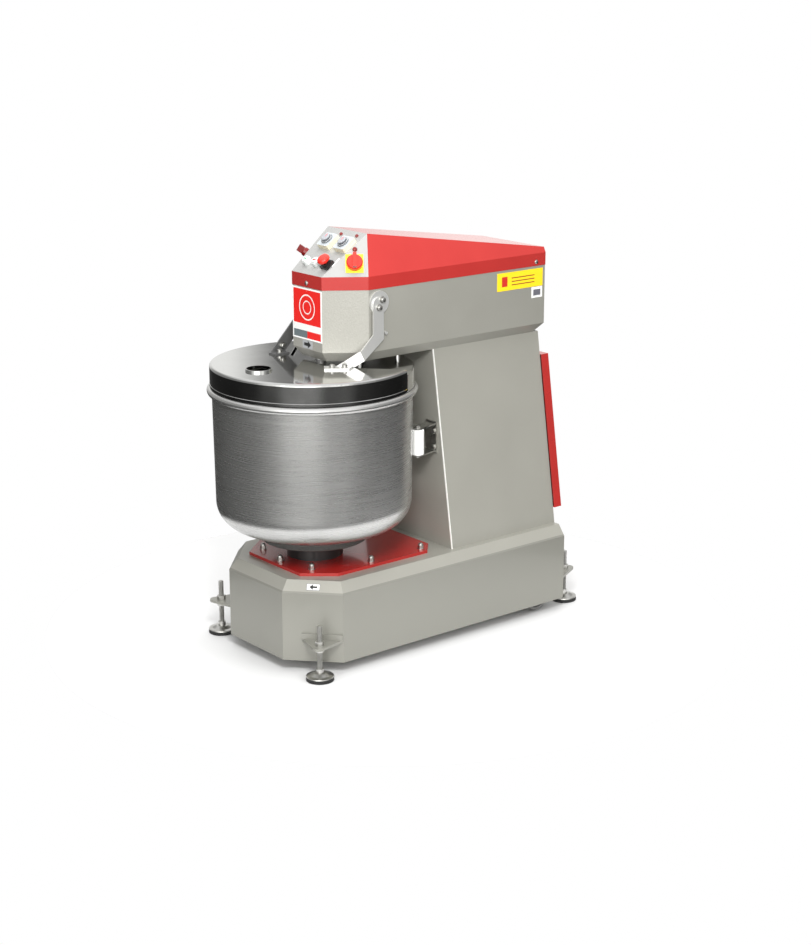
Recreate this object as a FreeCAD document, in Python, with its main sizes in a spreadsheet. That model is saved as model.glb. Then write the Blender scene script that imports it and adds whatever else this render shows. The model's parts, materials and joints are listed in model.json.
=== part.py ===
"""Floor-standing spiral dough mixer, drawn in millimetres.

The frame is +Z up, with the front of the machine towards -Y. The pieces are drawn about the
axis of the bowl and placed by bowl_y, so that the origin is on the floor under the middle
of the machine.
"""
import FreeCAD
import Part
import Sketcher
import math
import os
import re

from FreeCAD import Placement, Rotation, Vector

X_AXIS = Vector(1, 0, 0)
Y_AXIS = Vector(0, 1, 0)
Z_AXIS = Vector(0, 0, 1)

# ----------------------------------------------------------------------------------------
# Driving dimensions. Distances in Y are from the axis of the bowl, heights from the floor.
# ----------------------------------------------------------------------------------------
SIZES = {
    # base casing
    "base_width": 560, "base_front": 231, "base_rear": 824, "base_bottom": 38.5,
    "base_corner_wide": 138, "base_corner_deep": 129, "base_wall_top": 256, "base_top": 291,
    "base_bend_in": 27.5, "base_sheet": 3, "floor_sheet": 4,
    # column
    "column_front": 373, "column_foot_width": 462, "column_sheet": 3,
    "rear_cover_lap": 7, "rear_cover_low": 343, "rear_cover_high": 851, "rear_cover_deep": 31,
    # head casing
    "head_width": 315, "head_front": 16, "head_rear": 826, "head_bottom": 927,
    "head_corner_wide": 83, "head_corner_deep": 114, "head_bend_top": 958, "head_bend_in": 25.5,
    "head_top": 1149.5, "head_sheet": 2.5,
    # red head cover and control panel
    "band_top": 1190, "cover_proud": 1, "cover_sheet": 2, "panel_top_deep": 140,
    "panel_top_high": 1309, "panel_top_width": 195, "cover_rear_high": 1207,
    # bowl
    "rim_radius": 325, "rim_roll": 11.5, "rim_height": 836, "bowl_mouth_radius": 310,
    "bowl_wall_radius": 305, "bowl_corner_height": 425.5, "bowl_corner_round": 85,
    "bowl_floor_radius": 172, "bowl_floor": 377, "bowl_sheet": 3, "flange_thick": 19,
    # bowl drive
    "turntable_thick": 10, "turntable_width": 420, "turntable_front": 158,
    "turntable_rear": 333, "drum_radius": 89, "drum_gap": 2, "bowl_bearing_radius": 47,
    "bowl_bearing_thick": 20, "bowl_shaft_radius": 25, "bowl_pulley_radius": 150,
    "bowl_pulley_low": 200, "bowl_motor_y": 560, "bowl_motor_radius": 70,
    "bowl_motor_shaft": 12, "bowl_motor_pulley_radius": 45,
    # spiral tool and its drive
    "spiral_y": 165, "spiral_sweep": 100, "spiral_bar": 16, "spiral_high": 852,
    "spiral_low": 448, "spiral_shaft_radius": 25, "spiral_bearing_radius": 42,
    "spiral_bearing_thick": 22, "housing_wall": 12, "housing_tall": 94, "frame_thick": 12,
    "spiral_pulley_radius": 110, "spiral_motor_y": 600, "spiral_motor_radius": 95,
    "spiral_motor_tall": 250, "spiral_motor_shaft": 14, "spiral_motor_pulley_radius": 50,
    "breaker_radius": 15, "breaker_low": 430, "breaker_y": 30,
    # pulleys and belts
    "pulley_thick": 40, "groove_deep": 9, "belt_thick": 10, "belt_high": 12, "belt_gap": 0.4,
    # lid
    "lid_radius": 315.4, "lid_top": 918.6, "lid_skirt_low": 850, "lid_sheet": 2,
    "lid_edge_round": 9, "lid_split_wide": 276, "lid_split_deep": 150, "lid_notch_wide": 226,
    "lid_notch_front": 3, "split_gap": 3, "rear_lid_drop": 11.6, "port_radius": 37,
    "port_wall": 4, "port_tall": 6, "port_deep": 200,
    "lid_pivot_y": 136, "lid_pivot_z": 1108, "lid_arm_wide": 40, "lid_arm_thick": 5,
    "strap_y": 128, "strap_out": 23, "left_elbow_high": 1068, "left_foot_y": -16,
    "lid_pin_radius": 12, "pivot_disc_radius": 36, "pivot_disc_thick": 5.2,
    # guide rollers
    "roller_radius": 19.5, "roller_tall": 82, "roller_x": 158, "roller_gap": 1.5,
    "roller_z": 645, "roller_pin_radius": 6, "roller_plate_thick": 5,
    # levelling feet and transport wheels
    "front_foot_out": 49, "front_foot_shift": 29, "rear_foot_out": 68, "rear_foot_x": 213,
    "foot_plate_top": 111.5, "foot_plate_thick": 8, "foot_plate_wide": 126, "pad_radius": 43,
    "pad_rubber": 11, "stud_radius": 8, "stud_top": 174, "nut_tall": 13, "nut_flats": 24,
    "wheel_radius": 45, "wheel_wide": 28, "wheel_x": 235, "wheel_y": 735, "wheel_z": 51,
    "wheel_axle_radius": 8,
    # push buttons
    "button_ring_tall": 15, "button_tall": 19,
    # clearances
    "running_fit": 0.05, "moving_gap": 0.4,
}

# Formulas used in several places.
DERIVED = {
    "bowl_y": "((rim_radius - base_rear - rear_foot_out - pad_radius) / 2)",
    "column_top_half": "(head_width / 2 - head_bend_in)",
    "column_tall": "(head_bottom - base_top)",
    "column_lean": "((column_foot_width / 2 - column_top_half) / column_tall)",
    "turntable_top": "(base_top + turntable_thick)",
    "flange_low": "(bowl_floor - flange_thick)",
    "frame_low": "(head_bottom + head_sheet)",
    "frame_top": "(frame_low + frame_thick)",
    "housing_top": "(frame_top + housing_tall)",
    "spiral_pulley_low": "(housing_top + 10)",
    "rear_lid_top": "(lid_top - rear_lid_drop)",
    "arm_inner": "(head_width / 2 + pivot_disc_thick + moving_gap)",
    "foot_plate_low": "(foot_plate_top - foot_plate_thick)",
    "panel_rise": "(panel_top_high - band_top)",
    "panel_run": "(panel_top_deep + head_front + cover_proud)",
    "panel_angle": "atan(panel_rise / panel_run)",
    "roller_reach": "(bowl_mouth_radius + roller_gap + roller_radius)",
    "roller_y": "sqrt(roller_reach * roller_reach - roller_x * roller_x)",
}

doc = FreeCAD.newDocument("SpiralMixer")
sheet = doc.addObject("Spreadsheet::Sheet", "Sizes")
for row, (alias, number) in enumerate(SIZES.items(), start=1):
    sheet.set(f"A{row}", alias)
    sheet.set(f"B{row}", str(number))
    sheet.setAlias(f"B{row}", alias)
doc.recompute()

NODES = []
WORD = re.compile(r"[A-Za-z_][A-Za-z_0-9]*")


def size(alias):
    """A driving dimension as a number, for shapes worked out in this script."""
    return float(sheet.get(alias))


def formula(text):
    """Spells a formula out in the cells of the sheet."""
    spelled = str(text)
    while any(word in DERIVED for word in WORD.findall(spelled)):
        spelled = WORD.sub(lambda hit: DERIVED.get(hit.group(0), hit.group(0)), spelled)
    return WORD.sub(lambda hit: f"Sizes.{hit.group(0)}" if hit.group(0) in SIZES
                    else hit.group(0), spelled)


def bind(item, **formulas):
    for name, text in formulas.items():
        item.setExpression(name, formula(text))
    return item


def place(item, x="0", y="0", z="0", turn=None):
    """Puts an item at a point given from the bowl's axis, after an optional rotation."""
    if turn:
        item.Placement = Placement(Vector(), turn)
    item.setExpression("Placement.Base.x", formula(x))
    item.setExpression("Placement.Base.y", formula(f"({y}) + bowl_y"))
    item.setExpression("Placement.Base.z", formula(z))
    return item


def node(item, label):
    """Makes an item one of the pieces that are written out."""
    item.Label = label
    NODES.append(item)
    return item


# ----------------------------------------------------------------------------------------
# Ways of making a piece
# ----------------------------------------------------------------------------------------
def outline(sketch, points):
    """Draws a closed outline whose corners are held at formulas from the sketch's origin."""
    count = len(points)
    for index in range(count):
        start = Vector(math.cos(2 * math.pi * index / count), math.sin(2 * math.pi * index / count), 0)
        following = 2 * math.pi * (index + 1) / count
        sketch.addGeometry(Part.LineSegment(start, Vector(math.cos(following), math.sin(following), 0)))
    for index in range(count):
        sketch.addConstraint(Sketcher.Constraint("Coincident", index, 2, (index + 1) % count, 1))
    for index, point in enumerate(points):
        for kind, text in zip(("DistanceX", "DistanceY"), point):
            number = sketch.addConstraint(Sketcher.Constraint(kind, -1, 1, index, 1, 1.0))
            sketch.setExpression(f"Constraints[{number}]", formula(text))


def origin_plane(body, role):
    return next(item for item in body.Origin.OriginFeatures if item.Role == role)


def sketch_on(body, name, role, points, height="0"):
    sketch = body.newObject("Sketcher::SketchObject", name)
    sketch.AttachmentSupport = [(origin_plane(body, role), "")]
    sketch.MapMode = "FlatFace"
    sketch.setExpression("AttachmentOffset.Base.z", formula(height))
    outline(sketch, points)
    return sketch


def turned(name, points, x="0", y="0", z="0", turn=None):
    """A piece turned on a lathe: the corners are (radius, height) about its own Z axis."""
    body = doc.addObject("PartDesign::Body", name)
    sketch = sketch_on(body, name + "_profile", "XZ_Plane", points)
    spun = body.newObject("PartDesign::Revolution", name + "_spin")
    spun.Profile = sketch
    spun.ReferenceAxis = (sketch, ["V_Axis"])
    spun.Angle = 360
    return place(body, x, y, z, turn)


def plate(name, points, low, thick, role="XY_Plane", **where):
    """A flat piece cut to an outline: low and thick are along the normal of its plane."""
    body = doc.addObject("PartDesign::Body", name)
    sketch = sketch_on(body, name + "_outline", role, points, low)
    cut_out = body.newObject("PartDesign::Pad", name + "_thickness")
    cut_out.Profile = sketch
    bind(cut_out, Length=thick)
    return place(body, **where)


def lofted(name, levels):
    """A solid through outlines at different heights, with flat sides between them."""
    body = doc.addObject("PartDesign::Body", name)
    sketches = [sketch_on(body, f"{name}_level_{index}", "XY_Plane", points, height)
                for index, (height, points) in enumerate(levels)]
    loft = body.newObject("PartDesign::AdditiveLoft", name + "_loft")
    loft.Profile = sketches[0]
    loft.Sections = sketches[1:]
    loft.Ruled = True
    return place(body)


def block(name, x, y, z, length, width, height):
    item = doc.addObject("Part::Box", name)
    bind(item, Length=length, Width=width, Height=height)
    return place(item, x, y, z)


def rod(name, radius, length, x="0", y="0", z="0", turn=None):
    item = doc.addObject("Part::Cylinder", name)
    bind(item, Radius=radius, Height=length)
    return place(item, x, y, z, turn)


def hexagon(name, flats, height, x="0", y="0", z="0", turn=None):
    item = doc.addObject("Part::Prism", name)
    item.Polygon = 6
    bind(item, Circumradius=f"({flats}) / 2 / cos(30)", Height=height)
    return place(item, x, y, z, turn)


def ball(name, radius, x="0", y="0", z="0"):
    item = doc.addObject("Part::Sphere", name)
    bind(item, Radius=radius)
    return place(item, x, y, z)


def fuse(name, *pieces):
    item = doc.addObject("Part::MultiFuse", name)
    item.Shapes = list(pieces)
    return item


def group(name, *pieces):
    item = doc.addObject("Part::Compound", name)
    item.Links = list(pieces)
    return item


def cut(name, base, *tools):
    item = doc.addObject("Part::Cut", name)
    item.Base = base
    item.Tool = tools[0] if len(tools) == 1 else fuse(name + "_tools", *tools)
    return item


def common(name, base, tool):
    item = doc.addObject("Part::Common", name)
    item.Base = base
    item.Tool = tool
    return item


def mirrored(name, piece):
    """The same piece on the other side of the machine."""
    item = doc.addObject("Part::Mirroring", name)
    item.Source = piece
    item.Base = Vector(0, 0, 0)
    item.Normal = X_AXIS
    return item


def pair(name, piece):
    return group(name, piece, mirrored(name + "_other", piece))


def round_edges(body, radius, wanted):
    """Rounds the edges of a body that a test picks out."""
    doc.recompute()
    tip = body.Tip
    names = [f"Edge{index}" for index, edge in enumerate(tip.Shape.Edges, start=1) if wanted(edge)]
    rounding = body.newObject("PartDesign::Fillet", f"{body.Name}_round_{len(body.Group)}")
    rounding.Base = (tip, names)
    bind(rounding, Radius=radius)
    return body


def shaped(name, shape):
    """A piece whose shape is worked out here from the sheet."""
    item = doc.addObject("Part::Feature", name)
    item.Shape = Part.Compound([shape])
    return place(item)


def square(half_wide, half_deep):
    """Corners of a rectangle round the sketch's origin."""
    return [(f"-({half_wide})", f"-({half_deep})"), (half_wide, f"-({half_deep})"),
            (half_wide, half_deep), (f"-({half_wide})", half_deep)]


def casing_outline(width, front, rear, corner_wide, corner_deep, inset="0", rear_inset=None):
    """Plan of a casing with its two front corners cut off, drawn in by an inset."""
    angle = f"atan(({corner_deep}) / ({corner_wide}))"
    side = f"(({width}) / 2 - ({inset}))"
    back = f"(({rear}) - ({rear_inset or inset}))"
    shoulder = f"(({corner_deep}) - ({front}) + ({inset}) * tan((90 deg - {angle}) / 2))"
    nose = f"(({width}) / 2 - ({corner_wide}) - ({inset}) * tan({angle} / 2))"
    face = f"(({inset}) - ({front}))"
    right = [(nose, face), (side, shoulder), (side, back)]
    return right + [(f"-{x}", y) for x, y in reversed(right)]


# ----------------------------------------------------------------------------------------
# Base
# ----------------------------------------------------------------------------------------
def base_plan(inset="0", rear_inset=None):
    return casing_outline("base_width", "base_front", "base_rear", "base_corner_wide",
                          "base_corner_deep", inset, rear_inset)


def make_base():
    outside = lofted("base_outside", [
        ("base_bottom", base_plan()), ("base_wall_top", base_plan()),
        ("base_top", base_plan("base_bend_in", "0"))])
    inside = lofted("base_inside", [
        ("base_bottom - 1", base_plan("base_sheet")),
        ("base_wall_top", base_plan("base_sheet")),
        ("base_top - base_sheet", base_plan("base_bend_in + base_sheet", "base_sheet"))])
    shaft_way = rod("base_shaft_way", "bowl_bearing_radius", "20", z="base_top - 10")
    column_way = block("base_column_way", "-column_foot_width / 2 + 30", "column_front + 30",
                       "base_top - 10", "column_foot_width - 60",
                       "base_rear - column_front - 60", "20")
    node(cut("base_shell_cut", outside, inside, shaft_way, column_way), "base_shell")

    floor = plate("base_floor_plate", base_plan("base_sheet"), "base_bottom", "floor_sheet")
    slots = [block(f"wheel_slot_{side}", f"{sign} * wheel_x - wheel_wide / 2 - 6",
                   "wheel_y - wheel_radius - 12", "base_bottom - 1", "wheel_wide + 12",
                   "2 * wheel_radius + 24", "floor_sheet + 2")
             for side, sign in (("left", -1), ("right", 1))]
    node(cut("base_floor_cut", floor, *slots), "base_floor")

    gland = turned("cable_gland_body", [
        ("6", "0"), ("16", "0"), ("16", "8"), ("13", "8"), ("13", "20"), ("9", "28"), ("6", "28")],
        x="150", y="base_rear", z="150", turn=Rotation(X_AXIS, -90))
    node(gland, "cable_gland")


# ----------------------------------------------------------------------------------------
# Levelling feet and transport wheels
# ----------------------------------------------------------------------------------------
def foot_places():
    """Name, position and outward direction of each foot, from the casing it is welded to."""
    wide, deep = size("base_corner_wide"), size("base_corner_deep")
    slope = math.hypot(wide, deep)
    along = Vector(wide / slope, deep / slope, 0)
    outward = Vector(deep / slope, -wide / slope, 0)
    middle = Vector(size("base_width") / 2 - wide / 2, -size("base_front") + deep / 2, 0)
    front = middle + along * size("front_foot_shift") + outward * size("front_foot_out")
    rear = Vector(size("rear_foot_x"), size("base_rear") + size("rear_foot_out"), 0)
    return [("front", front, outward, size("front_foot_out")),
            ("rear", rear, Y_AXIS, size("rear_foot_out"))]


def make_feet():
    brackets, nuts = [], []
    for name, spot, outward, out in foot_places():
        turn = Rotation(Y_AXIS, outward)
        half = size("foot_plate_wide") / 2
        nose = 14
        reach = size("foot_plate_thick") * 3 + 12
        top, thick = size("foot_plate_top"), size("foot_plate_thick")
        corners = [Vector(-half, -out, 0), Vector(half, -out, 0), Vector(nose, reach - 6, 0),
                   Vector(nose - 8, reach, 0), Vector(8 - nose, reach, 0),
                   Vector(-nose, reach - 6, 0)]
        web = Part.Face(Part.makePolygon(corners + corners[:1])).extrude(Vector(0, 0, thick))
        hole = Part.makeCylinder(size("stud_radius") + size("running_fit"), thick)
        upstand = Part.makeBox(2 * half, 6, 18, Vector(-half, -out, thick))
        bracket = web.fuse(upstand).cut(hole).removeSplitter()
        bracket.Placement = Placement(spot + Vector(0, 0, top - thick), turn)
        brackets.append(shaped(f"foot_bracket_{name}", bracket))
        for level, low in (("upper", "foot_plate_top"), ("lower", "foot_plate_low - nut_tall")):
            whole = hexagon(f"foot_nut_{name}_{level}_blank", "nut_flats", "nut_tall",
                            str(spot.x), str(spot.y), low)
            bore = rod(f"foot_nut_{name}_{level}_bore", "stud_radius + running_fit",
                       "nut_tall", str(spot.x), str(spot.y), low)
            nuts.append(cut(f"foot_nut_{name}_{level}", whole, bore))
        foot = turned(f"foot_{name}_right_body", [
            ("0", "0"), ("pad_radius", "0"), ("pad_radius", "pad_rubber"),
            ("pad_radius - 1", "pad_rubber + 3"), ("pad_radius * 0.72", "pad_rubber + 5"),
            ("pad_radius * 0.45", "pad_rubber + 12"), ("nut_flats / 2", "pad_rubber + 13"),
            ("nut_flats / 2", "pad_rubber + 25"), ("stud_radius", "pad_rubber + 25"),
            ("stud_radius", "stud_top - 2"), ("stud_radius - 2", "stud_top"), ("0", "stud_top")],
            str(spot.x), str(spot.y))
        node(foot, f"foot_{name}_right")
        node(mirrored(f"foot_{name}_left_copy", foot), f"foot_{name}_left")
    node(group("foot_brackets_all", *brackets,
               *[mirrored(item.Name + "_other", item) for item in brackets]), "foot_brackets")
    node(group("foot_nuts_all", *nuts, *[mirrored(item.Name + "_other", item) for item in nuts]),
         "foot_nuts")


def make_wheels():
    sideways = Rotation(Y_AXIS, 90)
    wheel = turned("wheel_right_body", [
        ("wheel_axle_radius + running_fit", "-wheel_wide / 2"), ("16", "-wheel_wide / 2"),
        ("16", "-wheel_wide / 2 + 4"), ("wheel_radius - 12", "-wheel_wide / 2 + 4"),
        ("wheel_radius - 10", "-wheel_wide / 2"), ("wheel_radius - 3", "-wheel_wide / 2"),
        ("wheel_radius", "-wheel_wide / 2 + 4"), ("wheel_radius", "wheel_wide / 2 - 4"),
        ("wheel_radius - 3", "wheel_wide / 2"), ("wheel_radius - 10", "wheel_wide / 2"),
        ("wheel_radius - 12", "wheel_wide / 2 - 4"), ("16", "wheel_wide / 2 - 4"),
        ("16", "wheel_wide / 2"), ("wheel_axle_radius + running_fit", "wheel_wide / 2")],
        "wheel_x", "wheel_y", "wheel_z", sideways)
    node(wheel, "transport_wheel_right")
    node(mirrored("wheel_left_copy", wheel), "transport_wheel_left")
    inner_wall = "base_width / 2 - base_sheet"
    cheek = block("wheel_cheek", "wheel_x + wheel_wide / 2 + 6", "wheel_y - 22",
                  "base_bottom + floor_sheet",
                  f"{inner_wall} - wheel_x - wheel_wide / 2 - 6", "44", "45")
    axle = rod("wheel_axle", "wheel_axle_radius", f"{inner_wall} - wheel_x + wheel_wide / 2 + 4",
               "wheel_x - wheel_wide / 2 - 4", "wheel_y", "wheel_z", sideways)
    collar = rod("wheel_collar", "wheel_axle_radius + 4", "4",
                 "wheel_x - wheel_wide / 2 - moving_gap - 4", "wheel_y", "wheel_z", sideways)
    node(pair("wheel_stubs_both", fuse("wheel_stub", cheek, axle, collar)), "wheel_stubs")


# ----------------------------------------------------------------------------------------
# Turntable: bowl, its bearing drum and its drive
# ----------------------------------------------------------------------------------------
def make_bowl():
    slope = "(bowl_corner_height - bowl_floor) / (bowl_wall_radius - bowl_floor_radius)"
    wall = turned("bowl_wall", [
        ("0", "bowl_floor"), ("bowl_floor_radius", "bowl_floor"),
        ("bowl_wall_radius", "bowl_corner_height"), ("bowl_mouth_radius", "rim_height"),
        ("bowl_mouth_radius - bowl_sheet", "rim_height"),
        ("bowl_wall_radius - bowl_sheet", f"bowl_corner_height + bowl_sheet * (1 - {slope})"),
        ("bowl_floor_radius", "bowl_floor + bowl_sheet"), ("0", "bowl_floor + bowl_sheet")])
    corner = size("bowl_wall_radius")

    def at_corner(edge, radius):
        return edge.BoundBox.ZLength < 0.01 and abs(edge.BoundBox.XMax - radius) < 0.01 \
            and edge.BoundBox.ZMin < size("bowl_corner_height") + 2 * size("bowl_sheet")

    round_edges(wall, "bowl_corner_round", lambda edge: at_corner(edge, corner))
    round_edges(wall, "bowl_corner_round - bowl_sheet",
                lambda edge: at_corner(edge, corner - size("bowl_sheet")))
    rim = doc.addObject("Part::Torus", "bowl_rim")
    bind(rim, Radius1="rim_radius - rim_roll", Radius2="rim_roll")
    place(rim, z="rim_height")
    node(fuse("bowl_whole", wall, rim), "bowl")

    node(turned("bowl_flange_body", [
        ("0", "flange_low"), ("bowl_floor_radius - 4", "flange_low"),
        ("bowl_floor_radius", "flange_low + 4"), ("bowl_floor_radius", "bowl_floor"),
        ("0", "bowl_floor")]), "bowl_flange")
    node(rod("bowl_shaft_bar", "bowl_shaft_radius", "flange_low - bowl_pulley_low + 5",
             z="bowl_pulley_low - 5"), "bowl_shaft")
    node(turned("bowl_drum_body", [
        ("bowl_bearing_radius", "turntable_top"), ("drum_radius", "turntable_top"),
        ("drum_radius", "flange_low - drum_gap"),
        ("bowl_bearing_radius", "flange_low - drum_gap")]), "bowl_drum")

    half, near, far = "turntable_width / 2", "turntable_front", "turntable_rear"
    right = [(f"{half} - 75", f"-{near}"), (half, f"92 - {near}"), (half, f"{far} - 45"),
             (f"{half} - 50", far)]
    whole = plate("turntable_blank", right + [(f"-({x})", y) for x, y in reversed(right)],
                  "base_top", "turntable_thick")
    hole = rod("turntable_hole", "bowl_bearing_radius - 6", "turntable_thick", z="base_top")
    node(cut("turntable_cut", whole, hole), "turntable_plate")

    spots = [(0, -135)] + [(side * x, y) for side in (-1, 1)
                           for x, y in ((130, -108), (186, 80), (186, 280))]
    nuts = []
    for number, (x, y) in enumerate(spots):
        washer = rod(f"turntable_washer_{number}", "11", "3", str(x), str(y), "turntable_top")
        nut = hexagon(f"turntable_hex_{number}", "17", "9", str(x), str(y), "turntable_top + 3")
        dome = ball(f"turntable_dome_{number}", "8", str(x), str(y), "turntable_top + 13")
        nuts.append(fuse(f"turntable_nut_{number}", washer, nut, dome))
    node(group("turntable_nuts_all", *nuts), "turntable_nuts")


def pulley_profile(radius, bore, low, thick, grooves):
    """A pulley with square grooves for its belts, as (radius, height) corners."""
    rib = f"(({thick}) - {grooves} * (belt_high + 2 * belt_gap)) / {grooves + 1}"
    corners = [(bore, low), (radius, low)]
    for number in range(grooves):
        start = f"({low}) + {number + 1} * ({rib}) + {number} * (belt_high + 2 * belt_gap)"
        end = f"{start} + belt_high + 2 * belt_gap"
        floor = f"({radius}) - groove_deep"
        corners += [(radius, start), (floor, start), (floor, end), (radius, end)]
    return corners + [(radius, f"({low}) + ({thick})"), (bore, f"({low}) + ({thick})")]


def belt_loop(first_y, first_radius, second_y, second_radius, low, tall):
    """A belt laid round two pulleys whose axes are upright, in one flat loop."""
    def filled(extra):
        one, two = first_radius + extra, second_radius + extra
        lean = math.asin((one - two) / (second_y - first_y))
        across, forward = math.cos(lean), math.sin(lean)
        near = Vector(one * across, first_y + one * forward, 0)
        far = Vector(two * across, second_y + two * forward, 0)
        near_other, far_other = Vector(-near.x, near.y, 0), Vector(-far.x, far.y, 0)
        edges = [Part.LineSegment(near, far).toShape(),
                 Part.Arc(far, Vector(0, second_y + two, 0), far_other).toShape(),
                 Part.LineSegment(far_other, near_other).toShape(),
                 Part.Arc(near_other, Vector(0, first_y - one, 0), near).toShape()]
        return Part.Face(Part.Wire(edges)).extrude(Vector(0, 0, tall))

    loop = filled(size("belt_thick")).cut(filled(0))
    loop.translate(Vector(0, 0, low))
    return loop


def make_drives():
    bearing_seats = ["turntable_top + 4", "flange_low - drum_gap - 4 - bowl_bearing_thick"]
    rings = [turned(f"bowl_bearing_{number}", [
        ("bowl_shaft_radius + running_fit", low), ("bowl_bearing_radius", low),
        ("bowl_bearing_radius", f"{low} + bowl_bearing_thick"),
        ("bowl_shaft_radius + running_fit", f"{low} + bowl_bearing_thick")])
        for number, low in enumerate(bearing_seats)]
    for number, low in enumerate(("frame_top + 6", "housing_top - 6 - spiral_bearing_thick")):
        rings.append(turned(f"spiral_bearing_{number}", [
            ("spiral_shaft_radius + running_fit", low), ("spiral_bearing_radius", low),
            ("spiral_bearing_radius", f"{low} + spiral_bearing_thick"),
            ("spiral_shaft_radius + running_fit", f"{low} + spiral_bearing_thick")],
            y="spiral_y"))
    node(group("shaft_bearings_all", *rings), "shaft_bearings")

    outer = "spiral_bearing_radius + housing_wall"
    node(turned("spiral_housing_body", [
        ("spiral_bearing_radius", "frame_top"), (f"{outer} + 32", "frame_top"),
        (f"{outer} + 32", "frame_top + 12"), (outer, "frame_top + 12"), (outer, "housing_top"),
        ("spiral_bearing_radius", "housing_top")], y="spiral_y"), "spiral_housing")

    thick = size("pulley_thick")
    node(turned("bowl_pulley_body", pulley_profile(
        "bowl_pulley_radius", "bowl_shaft_radius", "bowl_pulley_low", "pulley_thick - 10", 1)),
        "bowl_pulley")
    wheel = turned("bowl_motor_wheel", pulley_profile(
        "bowl_motor_pulley_radius", "bowl_motor_shaft", "bowl_pulley_low", "pulley_thick - 10", 1),
        y="bowl_motor_y")
    stub = rod("bowl_motor_stub", "bowl_motor_shaft", "60", y="bowl_motor_y",
               z="bowl_pulley_low + pulley_thick - 65")
    node(fuse("bowl_motor_rotor", wheel, stub), "bowl_motor_pulley")
    top = "bowl_pulley_low - 8"
    node(turned("bowl_motor_body", [
        ("0", "base_bottom + floor_sheet"), ("bowl_motor_radius + 12", "base_bottom + floor_sheet"),
        ("bowl_motor_radius + 12", "base_bottom + floor_sheet + 10"),
        ("bowl_motor_radius", "base_bottom + floor_sheet + 10"),
        ("bowl_motor_radius", f"{top} - 20"), ("bowl_motor_radius - 12", f"{top} - 8"),
        ("bowl_motor_shaft + 14", f"{top} - 8"), ("bowl_motor_shaft + 14", top),
        ("bowl_motor_shaft + running_fit", top), ("bowl_motor_shaft + running_fit", f"{top} - 25"),
        ("0", f"{top} - 25")], y="bowl_motor_y"), "bowl_motor")

    node(turned("spiral_pulley_body", pulley_profile(
        "spiral_pulley_radius", "spiral_shaft_radius", "spiral_pulley_low", "pulley_thick", 2),
        y="spiral_y"), "spiral_pulley")
    wheel = turned("spiral_motor_wheel", pulley_profile(
        "spiral_motor_pulley_radius", "spiral_motor_shaft", "spiral_pulley_low", "pulley_thick",
        2), y="spiral_motor_y")
    stub = rod("spiral_motor_stub", "spiral_motor_shaft",
               "spiral_pulley_low + pulley_thick + 5 - frame_low + 40", y="spiral_motor_y",
               z="frame_low - 40")
    node(fuse("spiral_motor_rotor", wheel, stub), "spiral_motor_pulley")
    shell = "spiral_motor_radius"
    node(turned("spiral_motor_body", [
        ("0", "frame_low - spiral_motor_tall"), (f"{shell} - 14", "frame_low - spiral_motor_tall"),
        (f"{shell} - 4", "frame_low - spiral_motor_tall + 10"),
        (f"{shell} - 4", "frame_low - spiral_motor_tall + 55"),
        (shell, "frame_low - spiral_motor_tall + 55"), (shell, "frame_low - 30"),
        (f"{shell} - 10", "frame_low - 14"), (f"{shell} + 14", "frame_low - 14"),
        (f"{shell} + 14", "frame_low"), ("spiral_motor_shaft + running_fit", "frame_low"),
        ("spiral_motor_shaft + running_fit", "frame_low - 45"), ("0", "frame_low - 45")],
        y="spiral_motor_y"), "spiral_motor")

    gap, deep, tall = size("belt_gap"), size("groove_deep"), size("belt_high")
    rib = (thick - 10 - tall - 2 * gap) / 2
    node(shaped("bowl_belt_loop", belt_loop(
        0, size("bowl_pulley_radius") - deep + gap, size("bowl_motor_y"),
        size("bowl_motor_pulley_radius") - deep + gap,
        size("bowl_pulley_low") + rib + gap, tall)), "bowl_belt")
    low = size("head_bottom") + size("head_sheet") + size("frame_thick") + size("housing_tall") + 10
    rib = (thick - 2 * (tall + 2 * gap)) / 3
    loops = [shaped(f"spiral_belt_loop_{number}", belt_loop(
        size("spiral_y"), size("spiral_pulley_radius") - deep + gap, size("spiral_motor_y"),
        size("spiral_motor_pulley_radius") - deep + gap,
        low + (number + 1) * rib + number * (tall + 2 * gap) + gap, tall)) for number in (0, 1)]
    node(group("spiral_belts_all", *loops), "spiral_belts")


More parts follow.
